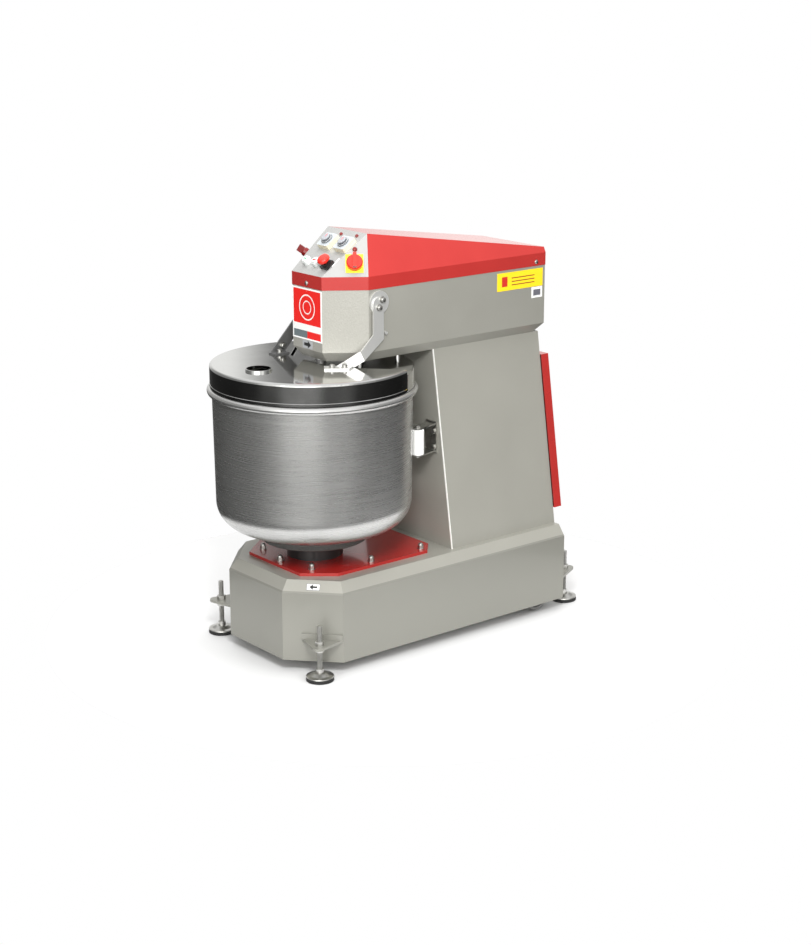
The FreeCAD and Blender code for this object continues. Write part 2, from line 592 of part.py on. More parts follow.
# ----------------------------------------------------------------------------------------
# Spiral tool and breaker bar
# ----------------------------------------------------------------------------------------
def make_tools():
    sweep, bar = size("spiral_sweep"), size("spiral_bar")
    high, low = size("spiral_high"), size("spiral_low")
    helix = Part.makeHelix(high - low, high - low, sweep)
    start = Part.Wire(Part.makeCircle(bar, Vector(sweep, 0, 0), Y_AXIS))
    coil = Part.Wire(helix).makePipeShell([start], True, True)
    coil.translate(Vector(0, 0, low))
    coil = shaped("spiral_coil", coil)
    place(coil, y="spiral_y")
    pieces = [coil]
    for level, height in (("top", "spiral_high"), ("bottom", "spiral_low")):
        pieces.append(rod(f"spiral_arm_{level}", "spiral_bar", "spiral_sweep", y="spiral_y",
                          z=height, turn=Rotation(Y_AXIS, 90)))
        pieces.append(ball(f"spiral_bend_{level}", "spiral_bar", "spiral_sweep", "spiral_y", height))
    pieces.append(ball("spiral_tip", "spiral_bar", y="spiral_y", z="spiral_low"))
    hub = turned("spiral_hub", [
        ("0", "spiral_high - 22"), ("30", "spiral_high - 22"), ("34", "spiral_high - 18"),
        ("34", "spiral_high + 33"), ("spiral_shaft_radius", "spiral_high + 33"),
        ("spiral_shaft_radius", "spiral_high + 4"), ("0", "spiral_high + 4")], y="spiral_y")
    socket = rod("spiral_socket", "spiral_shaft_radius", "40", y="spiral_y", z="spiral_high + 4")
    node(cut("spiral_hook_cut", fuse("spiral_hook_whole", hub, *pieces), socket), "spiral_hook")
    node(rod("spiral_shaft_bar", "spiral_shaft_radius",
             "spiral_pulley_low + pulley_thick + 8 - spiral_high - 4", y="spiral_y",
             z="spiral_high + 4"), "spiral_shaft")
    node(turned("breaker_body", [
        ("0", "breaker_low"), ("breaker_radius - 6", "breaker_low"),
        ("breaker_radius", "breaker_low + 6"), ("breaker_radius", "frame_top"),
        ("24", "frame_top"), ("24", "frame_top + 14"), ("0", "frame_top + 14")], y="breaker_y"), "breaker_bar")


# ----------------------------------------------------------------------------------------
# Column
# ----------------------------------------------------------------------------------------
def column_plan(height, inset="0"):
    half = f"(column_foot_width / 2 - column_lean * (({height}) - base_top) - ({inset}))"
    front, rear = f"column_front + {inset}", f"base_rear - ({inset})"
    return [(half, front), (half, rear), (f"-{half}", rear), (f"-{half}", front)]


def make_column():
    outside = lofted("column_outside", [("base_top", column_plan("base_top")),
                                        ("head_bottom", column_plan("head_bottom"))])
    inside = lofted("column_inside", [
        ("base_top - 1", column_plan("base_top - 1", "column_sheet")),
        ("head_bottom + 1", column_plan("head_bottom + 1", "column_sheet"))])
    window = block("column_window", "-100", "base_rear - 20", "rear_cover_low + 30", "200", "40",
                   "rear_cover_high - rear_cover_low - 60")
    node(cut("column_cut", outside, inside, window), "column_shell")

    def slab(name, low, high, inset, front, rear):
        def plan(height):
            half = f"(column_foot_width / 2 - column_lean * (({height}) - base_top) - ({inset}))"
            return [(half, front), (half, rear), (f"-{half}", rear), (f"-{half}", front)]
        return lofted(name, [(low, plan(low)), (high, plan(high))])

    skin = "cover_sheet"
    outside = slab("rear_cover_outside", "rear_cover_low", "rear_cover_high", "-rear_cover_lap",
                   "base_rear", "base_rear + rear_cover_deep")
    inside = slab("rear_cover_inside", f"rear_cover_low + {skin}", f"rear_cover_high - {skin}",
                  f"{skin} - rear_cover_lap", "base_rear - 1", f"base_rear + rear_cover_deep - {skin}")
    node(cut("rear_cover_cut", outside, inside), "rear_cover")
    node(block("control_box_body", "-90", "column_front + column_sheet", "base_top + 90", "180",
               "80", "230"), "control_box")


# ----------------------------------------------------------------------------------------
# Head
# ----------------------------------------------------------------------------------------
def head_plan(inset="0"):
    return casing_outline("head_width", "head_front", "head_rear", "head_corner_wide",
                          "head_corner_deep", inset)


def make_head():
    outside = lofted("head_outside", [
        ("head_bottom", head_plan("head_bend_in")), ("head_bend_top", head_plan()),
        ("head_top", head_plan())])
    inside = lofted("head_inside", [
        ("head_bottom + head_sheet", head_plan("head_bend_in + head_sheet / 2")),
        ("head_bend_top", head_plan("head_sheet")), ("head_top + 1", head_plan("head_sheet"))])
    shaft_way = rod("head_shaft_way", "spiral_shaft_radius + 8", "10", y="spiral_y",
                    z="head_bottom - 2")
    breaker_way = rod("head_breaker_way", "breaker_radius", "10", y="breaker_y",
                      z="head_bottom - 2")
    column_way = block("head_column_way", "-column_top_half + 14", "column_front + 14",
                       "head_bottom - 2", "2 * column_top_half - 28",
                       "base_rear - column_front - 28", "10")
    pin_way = rod("head_pin_way", "lid_pin_radius", "head_width + 20", "-head_width / 2 - 10",
                  "lid_pivot_y", "lid_pivot_z", Rotation(Y_AXIS, 90))
    node(cut("head_cut", outside, inside, shaft_way, breaker_way, column_way, pin_way),
         "head_shell")

    whole = plate("frame_blank", head_plan("head_bend_in + head_sheet"), "frame_low",
                  "frame_thick")
    holes = [rod("frame_spiral_hole", "spiral_shaft_radius + 8", "frame_thick", y="spiral_y",
                 z="frame_low"),
             rod("frame_breaker_hole", "breaker_radius", "frame_thick", y="breaker_y",
                 z="frame_low"),
             rod("frame_motor_hole", "spiral_motor_shaft + 10", "frame_thick",
                 y="spiral_motor_y", z="frame_low")]
    node(cut("frame_cut", whole, *holes), "head_frame")


def cover_corners(proud):
    """Corners of the head cover on the right-hand side, pushed out of the casing by proud."""
    half = size("head_width") / 2 + proud
    front = -size("head_front") - proud
    rear = size("head_rear") + proud
    wide, deep = size("head_corner_wide"), size("head_corner_deep")
    band = size("band_top")
    lean = (half - size("panel_top_width") / 2) / (size("panel_top_high") - band)
    rear_high = size("cover_rear_high")
    return {
        "low_nose": Vector(half - wide, front, size("head_top")),
        "low_shoulder": Vector(half, front + deep, size("head_top")),
        "low_back": Vector(half, rear, size("head_top")),
        "nose": Vector(half - wide, front, band),
        "shoulder": Vector(half, front + deep, band),
        "back": Vector(half, rear, band),
        "peak": Vector(size("panel_top_width") / 2, size("panel_top_deep"), size("panel_top_high")),
        "tail": Vector(half - lean * (rear_high - band), rear, rear_high),
    }


def face(*corners):
    return Part.Face(Part.makePolygon(list(corners) + [corners[0]]))


def other(point):
    return Vector(-point.x, point.y, point.z)


def cover_block(low):
    """The head cover as a full block, reaching down to a level."""
    corner = cover_corners(size("cover_proud"))
    for key in ("low_nose", "low_shoulder", "low_back"):
        corner[key].z = low
    sides = [(corner["nose"], other(corner["nose"]), other(corner["peak"]), corner["peak"]),
             (corner["low_nose"], other(corner["low_nose"]), other(corner["nose"]), corner["nose"]),
             (corner["peak"], other(corner["peak"]), other(corner["tail"]), corner["tail"]),
             (corner["tail"], other(corner["tail"]), other(corner["back"]), corner["back"]),
             (corner["back"], other(corner["back"]), other(corner["low_back"]), corner["low_back"]),
             tuple(corner[key] for key in ("low_nose", "low_shoulder", "low_back"))
             + tuple(other(corner[key]) for key in ("low_back", "low_shoulder", "low_nose"))]
    for flip in (lambda point: point, other):
        for keys in (("nose", "shoulder", "peak"), ("low_nose", "nose", "shoulder", "low_shoulder"),
                     ("low_shoulder", "shoulder", "back", "low_back"),
                     ("shoulder", "peak", "tail", "back")):
            sides.append(tuple(flip(corner[key]) for key in keys))
    whole = Part.Solid(Part.makeShell([face(*side) for side in sides]))
    if whole.Volume < 0:
        whole.reverse()
    return whole


def drawn_in(whole, thick, low):
    """The space inside a block whose faces all look outwards, open below a level."""
    reach = 4000
    room = Part.makeBox(reach, reach, reach, Vector(-reach / 2, -reach / 2, low))
    for side in whole.Faces:
        outward = side.normalAt(0, 0)
        if outward.dot(side.CenterOfMass - whole.CenterOfMass) < 0:
            outward = outward * -1
        if outward.z > -0.9:
            waste = Part.makeBox(reach, reach, reach, Vector(-reach / 2, -reach / 2, 0))
            waste.Placement = Placement(side.CenterOfMass - outward * thick,
                                        Rotation(Z_AXIS, outward))
            room = room.cut(waste)
    return room


def make_cover():
    full = cover_block(size("head_top"))
    room = drawn_in(full, size("cover_sheet"), size("head_top") - 1)
    skin_shape = full.cut(room)
    if skin_shape.Volume > full.Volume / 4:
        raise RuntimeError("the head cover was not hollowed out")
    holes = [rod("start_way", "6", "30", *panel_spot(*START_BUTTON, up="-15"), panel_turn()),
             rod("stop_way", "6", "30", *panel_spot(*STOP_BUTTON, up="-15"), panel_turn()),
             rod("estop_way", "9", "30", *panel_spot(*EMERGENCY_STOP, up="-15"), panel_turn())]
    for side in (-1, 1):
        spot, turn = facet_spot(side, *CORNER_SWITCH, up=-15)
        holes.append(rod(f"switch_way_{'left' if side < 0 else 'right'}", "7", "30", *spot, turn))
    for name, spot, turn in screw_places():
        holes.append(rod(f"screw_way_{name}", "3 + running_fit", "20",
                         *[str(value) for value in spot - turn.multVec(Z_AXIS) * 10], turn))
    skin = shaped("cover_skin", skin_shape)
    node(cut("cover_cut", skin, *holes), "head_cover")


def screw_places():
    """Cover screws: a name, the point on the sheet and the outward direction of each."""
    half = size("head_width") / 2 + size("cover_proud")
    level, rear = size("head_top") + 13, size("head_rear") - 40
    return [("front", Vector(0, -size("head_front") - size("cover_proud"), level), Rotation(X_AXIS, 90)),
            ("right", Vector(half, rear, level), Rotation(Y_AXIS, 90)),
            ("left", Vector(-half, rear, level), Rotation(Y_AXIS, -90))]


def make_cover_screws():
    screws = []
    for name, spot, turn in screw_places():
        screws.append(turned(f"cover_screw_{name}", [
            ("0", "-14"), ("3", "-14"), ("3", "0"), ("7", "0"), ("7", "1.5"), ("4.5", "4"),
            ("0", "4.5")], *[str(value) for value in spot], turn))
        back = spot - turn.multVec(Z_AXIS) * (size("cover_sheet") + 5)
        blank = hexagon(f"cover_nut_{name}_blank", "10", "5", *[str(value) for value in back], turn)
        bore = rod(f"cover_nut_{name}_bore", "3 + running_fit", "5", *[str(value) for value in back],
                   turn)
        screws.append(cut(f"cover_nut_{name}", blank, bore))
    node(group("cover_screws_all", *screws), "cover_screws")


# ----------------------------------------------------------------------------------------
# Controls. Places on the panel are (across, up the slope); on the corners of the cover they
# are (along the lower edge, up the facet).
# ----------------------------------------------------------------------------------------
TIMERS = {"left": (-24, 134), "right": (57, 134)}
SMALL_LAMPS = [(-8, 176), (66, 180)]
START_BUTTON = (-38, 44)
STOP_BUTTON = (7, 46)
EMERGENCY_STOP = (58, 47)
CORNER_SWITCH = (100, 43)
CORNER_LAMP = (102, 89)


def panel_turn():
    run = size("panel_top_deep") + size("head_front") + size("cover_proud")
    return Rotation(X_AXIS, math.degrees(math.atan2(size("panel_top_high") - size("band_top"), run)))


def panel_spot(across, along, up="0"):
    y = f"{along} * cos(panel_angle) - ({up}) * sin(panel_angle) - head_front - cover_proud"
    z = f"band_top + {along} * sin(panel_angle) + ({up}) * cos(panel_angle)"
    return str(across), y, z


def facet_spot(side, along, rise, up=0.0):
    """Point and rotation on a corner facet: side is 1 on the right and -1 on the left."""
    corner = cover_corners(size("cover_proud"))
    first = (corner["shoulder"] - corner["nose"]).normalize()
    normal = first.cross(corner["peak"] - corner["nose"]).normalize()
    second = normal.cross(first)
    spot = corner["nose"] + first * along + second * rise + normal * up
    if side < 0:
        spot, first, second, normal = other(spot), other(first) * -1, other(second), other(normal)
    turn = Rotation(first, second, normal, "ZXY")
    return [str(spot.x), str(spot.y), str(spot.z)], turn


def make_timers():
    housings = []
    for side, spot in TIMERS.items():
        body = plate(f"timer_case_{side}", square("27", "27"), "0", "16",
                     **dict(zip("xyz", panel_spot(*spot))), turn=panel_turn())
        round_edges(body, "5", lambda edge: edge.BoundBox.ZLength > 15)
        bore = rod(f"timer_bore_{side}", "4 + running_fit", "10", *panel_spot(*spot, up="7"),
                   panel_turn())
        housings.append(cut(f"timer_housing_{side}", body, bore))
        node(turned(f"timer_knob_{side}_body", [
            ("0", "-8"), ("4", "-8"), ("4", "moving_gap"), ("19", "moving_gap"), ("19", "3"),
            ("15", "4"), ("14", "11"), ("12", "12"), ("0", "12")],
            *panel_spot(*spot, up="16"), panel_turn()), f"timer_knob_{side}")
    node(group("timer_housings_all", *housings), "timer_housings")


def make_lamps():
    lamps = []
    for number, spot in enumerate(SMALL_LAMPS):
        lamps.append(turned(f"lamp_{number}", [
            ("0", "0"), ("5.5", "0"), ("5.5", "2.5"), ("4", "5"), ("0", "6")],
            *panel_spot(*spot), panel_turn()))
    spot, turn = facet_spot(1, *CORNER_LAMP)
    lamps.append(turned("lamp_corner", [
        ("0", "0"), ("7.5", "0"), ("7.5", "3"), ("5.5", "6"), ("0", "7.5")], *spot, turn))
    node(group("panel_lamps_all", *lamps), "panel_lamps")


def make_buttons():
    rings = []
    for name, spot in (("start", START_BUTTON), ("stop", STOP_BUTTON)):
        rings.append(turned(f"{name}_ring", [
            ("11 + moving_gap", "0"), ("14", "0"), ("14", "button_ring_tall - 1"),
            ("13", "button_ring_tall"), ("11 + moving_gap", "button_ring_tall")],
            *panel_spot(*spot), panel_turn()))
        node(turned(f"{name}_button_body", [
            ("0", "-16"), ("5", "-16"), ("5", "button_tall - 5"), ("11", "button_tall - 5"),
            ("11", "button_tall - 1"), ("10", "button_tall"), ("0", "button_tall")],
            *panel_spot(*spot), panel_turn()), f"{name}_button")
    node(group("button_rings_all", *rings), "button_rings")
    base = plate("estop_plate", square("17", "17"), "0", "10",
                 **dict(zip("xyz", panel_spot(*EMERGENCY_STOP))), turn=panel_turn())
    collar = rod("estop_collar", "15", "5", *panel_spot(*EMERGENCY_STOP, up="10"), panel_turn())
    bore = rod("estop_bore", "8 + moving_gap", "20", *panel_spot(*EMERGENCY_STOP, up="-2"),
               panel_turn())
    node(cut("estop_base_cut", fuse("estop_base_whole", base, collar), bore), "estop_base")
    node(turned("estop_head_body", [
        ("0", "-14"), ("8", "-14"), ("8", "20"), ("14", "20"), ("20", "24"), ("20", "30"),
        ("17", "34.5"), ("11", "37"), ("0", "38")], *panel_spot(*EMERGENCY_STOP), panel_turn()),
        "estop_head")


def make_corner_switches():
    plates = []
    for side, word, label, radius in ((1, "right", "main_switch_knob", 25),
                                      (-1, "left", "selector_knob", 14)):
        spot, turn = facet_spot(side, *CORNER_SWITCH)
        blank = plate(f"switch_plate_{word}_blank", square(str(radius + 2), str(radius + 5)),
                      "0", "2",
                      **dict(zip("xyz", spot)), turn=turn)
        spot_back, _ = facet_spot(side, *CORNER_SWITCH, up=-1)
        bore = rod(f"switch_plate_{word}_bore", "6 + moving_gap", "4", *spot_back, turn)
        plates.append(cut(f"switch_plate_{word}", blank, bore))
        dial = turned(f"switch_dial_{word}", [
            ("0", "-16"), ("6", "-16"), ("6", "2 + moving_gap"), (str(radius), "2 + moving_gap"),
            (str(radius), "16"), (str(radius - 3), "20"), ("0", "20")], *spot, turn)
        grip = plate(f"switch_grip_{word}", square(str(radius * 0.22), str(radius - 3)), "19", "20",
                     **dict(zip("xyz", spot)), turn=turn)
        node(fuse(f"switch_knob_{word}", dial, grip), label)
    node(group("switch_plates_all", *plates), "switch_plates")


def make_labels():
    front = "-head_front - 1"
    node(block("nameplate_plate", "-74", front, "987", "148", "1", "159"), "nameplate")
    slope = size("base_top") - size("base_wall_top")
    wide, deep = size("base_corner_wide"), size("base_corner_deep")
    along = Vector(wide, deep, 0).normalize()
    outward = Vector(deep, -wide, 0).normalize()
    normal = (outward * slope + Z_AXIS * size("base_bend_in")).normalize()
    middle = Vector(size("base_width") / 2 - wide / 2, deep / 2 - size("base_front"),
                    size("base_wall_top") + slope / 2) - outward * (size("base_bend_in") / 2)
    spot = middle
    arrow = plate("slope_label", square("21", "11"), "0", "0.6", x=str(spot.x), y=str(spot.y),
                  z=str(spot.z), turn=Rotation(along, normal.cross(along), normal, "ZXY"))
    strip = plate("panel_strip_label", square("2.5", "18"), "0", "0.6",
                  **dict(zip("xyz", panel_spot(78.4, 66))), turn=panel_turn())
    side = "head_width / 2"
    node(group("labels_all",
               block("direction_label", "-25", "-head_front - 0.6", "960", "50", "0.6", "25"),
               block("warning_label", side, "618", "1083", "0.6", "198", "58"),
               block("rating_label", side, "768", "1046", "0.6", "47", "35"),
               arrow, strip), "labels")


# ----------------------------------------------------------------------------------------
# Lid
# ----------------------------------------------------------------------------------------
def lid_dish(name, top):
    """A round dish, open below, with its edge rounded inside and out."""
    body = turned(name, [
        ("0", f"{top} - lid_sheet"), ("lid_radius - lid_sheet", f"{top} - lid_sheet"),
        ("lid_radius - lid_sheet", "lid_skirt_low"), ("lid_radius + 1", "lid_skirt_low"),
        ("lid_radius + 1", "lid_skirt_low + 8"), ("lid_radius", "lid_skirt_low + 9"),
        ("lid_radius", top), ("0", top)])

    def on_rim(edge, radius, level):
        box = edge.BoundBox
        return box.ZLength < 0.01 and abs(box.XMax - radius) < 0.01 and abs(box.ZMax - level) < 0.01

    height = float(sheet.evalExpression(formula(top)))
    sheet_thick = size("lid_sheet")
    radius = size("lid_radius")
    round_edges(body, "lid_edge_round", lambda edge: on_rim(edge, radius, height))
    round_edges(body, "lid_edge_round - lid_sheet",
                lambda edge: on_rim(edge, radius - sheet_thick, height - sheet_thick))
    return body


def front_region(name, shift):
    """Everything ahead of the split between the two parts of the lid."""
    far = "2 * lid_radius"
    right = [(far, f"-{far}"), (far, "lid_split_deep"), ("lid_split_wide", "lid_split_deep"),
             ("lid_notch_wide / 2", "-lid_notch_front")]
    return plate(name, right + [(f"-({x})", y) for x, y in reversed(right)], "lid_skirt_low - 5",
                 "lid_top - lid_skirt_low + 10", y=shift)


def make_lid():
    port_way = rod("port_way", "port_radius", "20", y="-port_deep", z="lid_top - 10")
    whole = common("lid_front_whole", lid_dish("lid_front_dish", "lid_top"),
                   front_region("lid_front_area", "0"))
    ring = turned("port_ring", [
        ("port_radius", "lid_top"), ("port_radius + port_wall", "lid_top"),
        ("port_radius + port_wall", "lid_top + port_tall"), ("port_radius", "lid_top + port_tall")],
        y="-port_deep")
    node(fuse("lid_front_welded", cut("lid_front_cut", whole, port_way), ring), "lid_front")
    posts = [rod(f"lid_post_{x}_{y}", "8", "head_bottom - rear_lid_top", str(x), str(y),
                 "rear_lid_top") for x, y in ((-92, 112), (92, 112), (-92, 262), (92, 262))]
    dish = lid_dish("lid_rear_dish", "rear_lid_top")
    shaft_way = rod("lid_shaft_way", "spiral_shaft_radius + 8", "20", y="spiral_y",
                    z="rear_lid_top - 10")
    breaker_way = rod("lid_breaker_way", "breaker_radius + 3", "20", y="breaker_y",
                      z="rear_lid_top - 10")
    rear = cut("lid_rear_cut", dish, front_region("lid_rear_area", "split_gap * 1.4"), shaft_way,
               breaker_way)
    node(fuse("lid_rear_whole", rear, *posts), "lid_rear")


def strap_frame():
    """Directions along and out of the corner of the head, and the strap's distance out."""
    wide, deep = size("head_corner_wide"), size("head_corner_deep")
    along = Vector(wide, deep, 0).normalize()
    outward = Vector(deep, -wide, 0).normalize()
    shoulder = Vector(size("head_width") / 2, deep - size("head_front"), 0)
    return along, outward, outward.dot(shoulder) + size("strap_out")


def flat_bar(corners, direction):
    return Part.Face(Part.makePolygon(corners + corners[:1])).extrude(direction)


def arm_at_pivot(inner, outline):
    """An arm's flat side beside the head, with its rounded end, disc and pin hole."""
    thick = size("lid_arm_thick")
    disc_thick = size("pivot_disc_thick")
    tip = size("lid_pivot_z") - 3
    pivot = Vector(inner - disc_thick, size("lid_pivot_y"), size("lid_pivot_z"))
    side = flat_bar([Vector(inner, y, z) for y, z in outline], X_AXIS * thick)
    cap = Part.makeCylinder(size("lid_arm_wide") / 2, thick, Vector(inner, size("strap_y"), tip),
                            X_AXIS)
    disc = Part.makeCylinder(size("pivot_disc_radius"), disc_thick, pivot, X_AXIS)
    bore = Part.makeCylinder(size("lid_pin_radius") + size("running_fit"), disc_thick, pivot, X_AXIS)
    return side.fuse([cap, disc]), bore


def right_arm(inner, level):
    """The right arm: its lower half turns in along the corner of the head."""
    thick, half = size("lid_arm_thick"), size("lid_arm_wide") / 2
    centre, tip = size("strap_y"), size("lid_pivot_z") - 3
    arm, bore = arm_at_pivot(inner, [
        (centre - half, tip), (centre + half, tip), (centre + half, level + 76),
        (centre - 53.5, level + 20), (centre - 67.5, level + 49), (centre - half, level + 93)])
    along, outward, out = strap_frame()

    def at(distance, step, height):
        return outward * distance + along * step + Z_AXIS * height

    upper = at(out, along.dot(Vector(inner, centre - 67.5, 0)), level + 49)
    lower = at(out, along.dot(Vector(inner, centre - 53.5, 0)) + 2, level + 20)
    web = flat_bar([upper, lower, at(out, 126, level), at(out, 66, level)], outward * thick)
    foot = flat_bar([at(out, 35, level), at(out + 42, 35, level), at(out + 42, 110, level),
                     at(out, 126, level)], Z_AXIS * thick)
    bolts = [at(out + 23, step, level + thick) for step in (59, 97)]
    return arm.fuse([web, foot]).cut(bore), bolts


def left_arm(inner, level):
    """The left arm, drawn on the right: one slanting bar with a foot turned in under it."""
    thick, half = size("lid_arm_thick"), size("lid_arm_wide") / 2
    centre, tip = size("strap_y"), size("lid_pivot_z") - 3
    elbow = Vector(0, centre, size("left_elbow_high"))
    down = (Vector(0, size("left_foot_y"), level) - elbow).normalize()
    across = Vector(0, down.z, -down.y) * half
    mitre = half * math.tan(math.acos(-down.z) / 2)
    front, rear = [edge + down * ((level - edge.z) / down.z)
                   for edge in (elbow + across, elbow - across)]
    arm, bore = arm_at_pivot(inner, [
        (centre - half, tip), (centre + half, tip), (centre + half, elbow.z - mitre),
        (rear.y, level), (front.y, level), (centre - half, elbow.z + mitre)])
    foot_wide, lug_high = 28, 22
    foot = Part.makeBox(foot_wide + thick, rear.y - front.y, thick,
                        Vector(inner - foot_wide, front.y, level))
    middle = (front + rear) / 2
    flat_bolt = Vector(inner - foot_wide / 2, middle.y, level + thick)
    side_bolt = Vector(inner, middle.y + lug_high * down.y / down.z, level + lug_high)
    return arm.fuse(foot).cut(bore), flat_bolt, side_bolt


def lid_bolt(name, spot, turn):
    return turned(f"lid_bolt_{name}", [
        ("0", "0"), ("10", "0"), ("10", "2"), ("8", "2"), ("8", "8"), ("6", "10"), ("0", "11")],
        *[str(value) for value in spot], turn)


def make_lid_arms():
    inner = size("head_width") / 2 + size("pivot_disc_thick") + size("moving_gap")
    level = size("lid_top")
    right, foot_bolts = right_arm(inner, level)
    left, flat_bolt, side_bolt = left_arm(inner, level)
    node(group("lid_arms_both", shaped("lid_arm_right", right),
               mirrored("lid_arm_left", shaped("lid_arm_left_drawn", left))), "lid_arms")

    outer = inner + size("lid_arm_thick")
    pivot_y, pivot_z = size("lid_pivot_y"), size("lid_pivot_z")
    bolts = []
    for name, y, z in (("upper", pivot_y + 6, pivot_z + 9), ("lower", pivot_y - 7, pivot_z - 14)):
        bolts.append(pair(f"lid_bolt_{name}_both",
                          lid_bolt(name, Vector(outer, y, z), Rotation(Y_AXIS, 90))))
    for index, spot in enumerate(foot_bolts):
        bolts.append(lid_bolt(f"right_foot_{index}", spot, Rotation()))
    for name, spot, turn in (("left_flat", flat_bolt, Rotation()),
                             ("left_side", side_bolt, Rotation(Y_AXIS, -90))):
        bolts.append(mirrored(f"lid_bolt_{name}_placed", lid_bolt(name, spot, turn)))
    node(group("lid_bolts_all", *bolts), "lid_bolts")

    sideways = Rotation(Y_AXIS, 90)
    wall = "head_width / 2"
    pin = turned("lid_pin", [
        ("0", "-head_sheet - 8"), ("lid_pin_radius + 8", "-head_sheet - 8"),
        ("lid_pin_radius + 8", "-head_sheet"), ("lid_pin_radius", "-head_sheet"),
        ("lid_pin_radius", "pivot_disc_thick - moving_gap"),
        ("0", "pivot_disc_thick - moving_gap")], wall, "lid_pivot_y", "lid_pivot_z", sideways)
    stop = rod("lid_stop_pin", "5", "12", wall, "strap_y + lid_arm_wide / 2 + 9", "1013", sideways)
    node(pair("lid_pins_both", group("lid_pins_side", pin, stop)), "lid_pins")


# ----------------------------------------------------------------------------------------
# Guide rollers beside the bowl
# ----------------------------------------------------------------------------------------
def make_rollers():
    bore = "roller_pin_radius + running_fit"
    roller = turned("roller_right_body", [
        (bore, "-roller_tall / 2"), ("roller_radius - 2", "-roller_tall / 2"),
        ("roller_radius", "2 - roller_tall / 2"), ("roller_radius", "roller_tall / 2 - 2"),
        ("roller_radius - 2", "roller_tall / 2"), (bore, "roller_tall / 2")],
        "roller_x", "roller_y", "roller_z")
    node(roller, "roller_right")
    node(mirrored("roller_left_copy", roller), "roller_left")
    thick = "roller_plate_thick"
    pieces = [block("roller_wall_plate", "105", f"column_front - {thick}",
                    "roller_z - roller_tall / 2 - 10", "50", thick, "roller_tall + 20")]
    for name, low in (("low", f"roller_z - roller_tall / 2 - moving_gap - {thick}"),
                      ("high", "roller_z + roller_tall / 2 + moving_gap")):
        pieces.append(plate(f"roller_arm_{name}", [
            ("108", "column_front - 2"), ("roller_x - 15", "roller_y - 4"),
            ("roller_x + 15", "roller_y"), ("150", "column_front - 2")], low, thick))
        pieces.append(rod(f"roller_eye_{name}", "15.5", thick, "roller_x", "roller_y", low))
    pieces.append(rod("roller_pin", "roller_pin_radius",
                      f"roller_tall + 2 * (moving_gap + {thick}) + 12", "roller_x", "roller_y",
                      f"roller_z - roller_tall / 2 - moving_gap - {thick} - 4"))
    pieces.append(hexagon("roller_bolt_head", "18", "8", "roller_x", "roller_y",
                          f"roller_z + roller_tall / 2 + moving_gap + {thick}"))
    for number, height in enumerate((20, -32)):
        pieces.append(hexagon(f"roller_plate_bolt_{number}", "16", "7", "145",
                              f"column_front - {thick} - 7", f"roller_z + {height}",
                              Rotation(X_AXIS, -90)))
    node(pair("roller_brackets_both", fuse("roller_bracket", *pieces)), "roller_brackets")


# ----------------------------------------------------------------------------------------
# Build, check and write
# ----------------------------------------------------------------------------------------
def check():
    """Stops if an object failed, or if a piece is empty or not a sound solid."""
    faults = []
    for item in doc.Objects:
        if "Invalid" in item.State or "Error" in item.State:
            faults.append(f"{item.Label}: {item.State}")
    for item in NODES:
        shape = item.Shape
        if shape.isNull() or not shape.isValid() or not shape.Solids or shape.Volume <= 0:
            faults.append(f"{item.Label}: not a sound solid")
    if faults:
        raise RuntimeError("; ".join(faults))


def write():
    os.makedirs("parts", exist_ok=True)
    for item in NODES:
        item.Shape.exportStep(f"parts/{item.Label}.step")


make_base()
make_feet()
make_wheels()
make_bowl()
make_drives()
make_tools()
make_column()
make_head()
make_cover()
make_cover_screws()
make_timers()
make_lamps()
make_buttons()
make_corner_switches()
make_labels()
make_lid()
make_lid_arms()
make_rollers()
doc.recompute()
check()
write()
print(len(NODES), "pieces written")
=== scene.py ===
"""Looks of the spiral dough mixer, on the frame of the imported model. Lengths are in metres."""
import json
import math

import bmesh
import bpy
from mathutils import Matrix, Vector


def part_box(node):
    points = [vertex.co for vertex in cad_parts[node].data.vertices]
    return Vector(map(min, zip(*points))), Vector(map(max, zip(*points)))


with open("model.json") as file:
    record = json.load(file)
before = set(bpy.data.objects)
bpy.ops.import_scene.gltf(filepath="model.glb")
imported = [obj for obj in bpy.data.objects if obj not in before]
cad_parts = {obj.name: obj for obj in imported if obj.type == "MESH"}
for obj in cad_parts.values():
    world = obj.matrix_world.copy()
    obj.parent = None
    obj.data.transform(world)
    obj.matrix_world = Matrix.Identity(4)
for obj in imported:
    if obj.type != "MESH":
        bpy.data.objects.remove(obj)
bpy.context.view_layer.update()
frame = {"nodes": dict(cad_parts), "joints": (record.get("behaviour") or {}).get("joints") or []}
NODES = frame["nodes"]


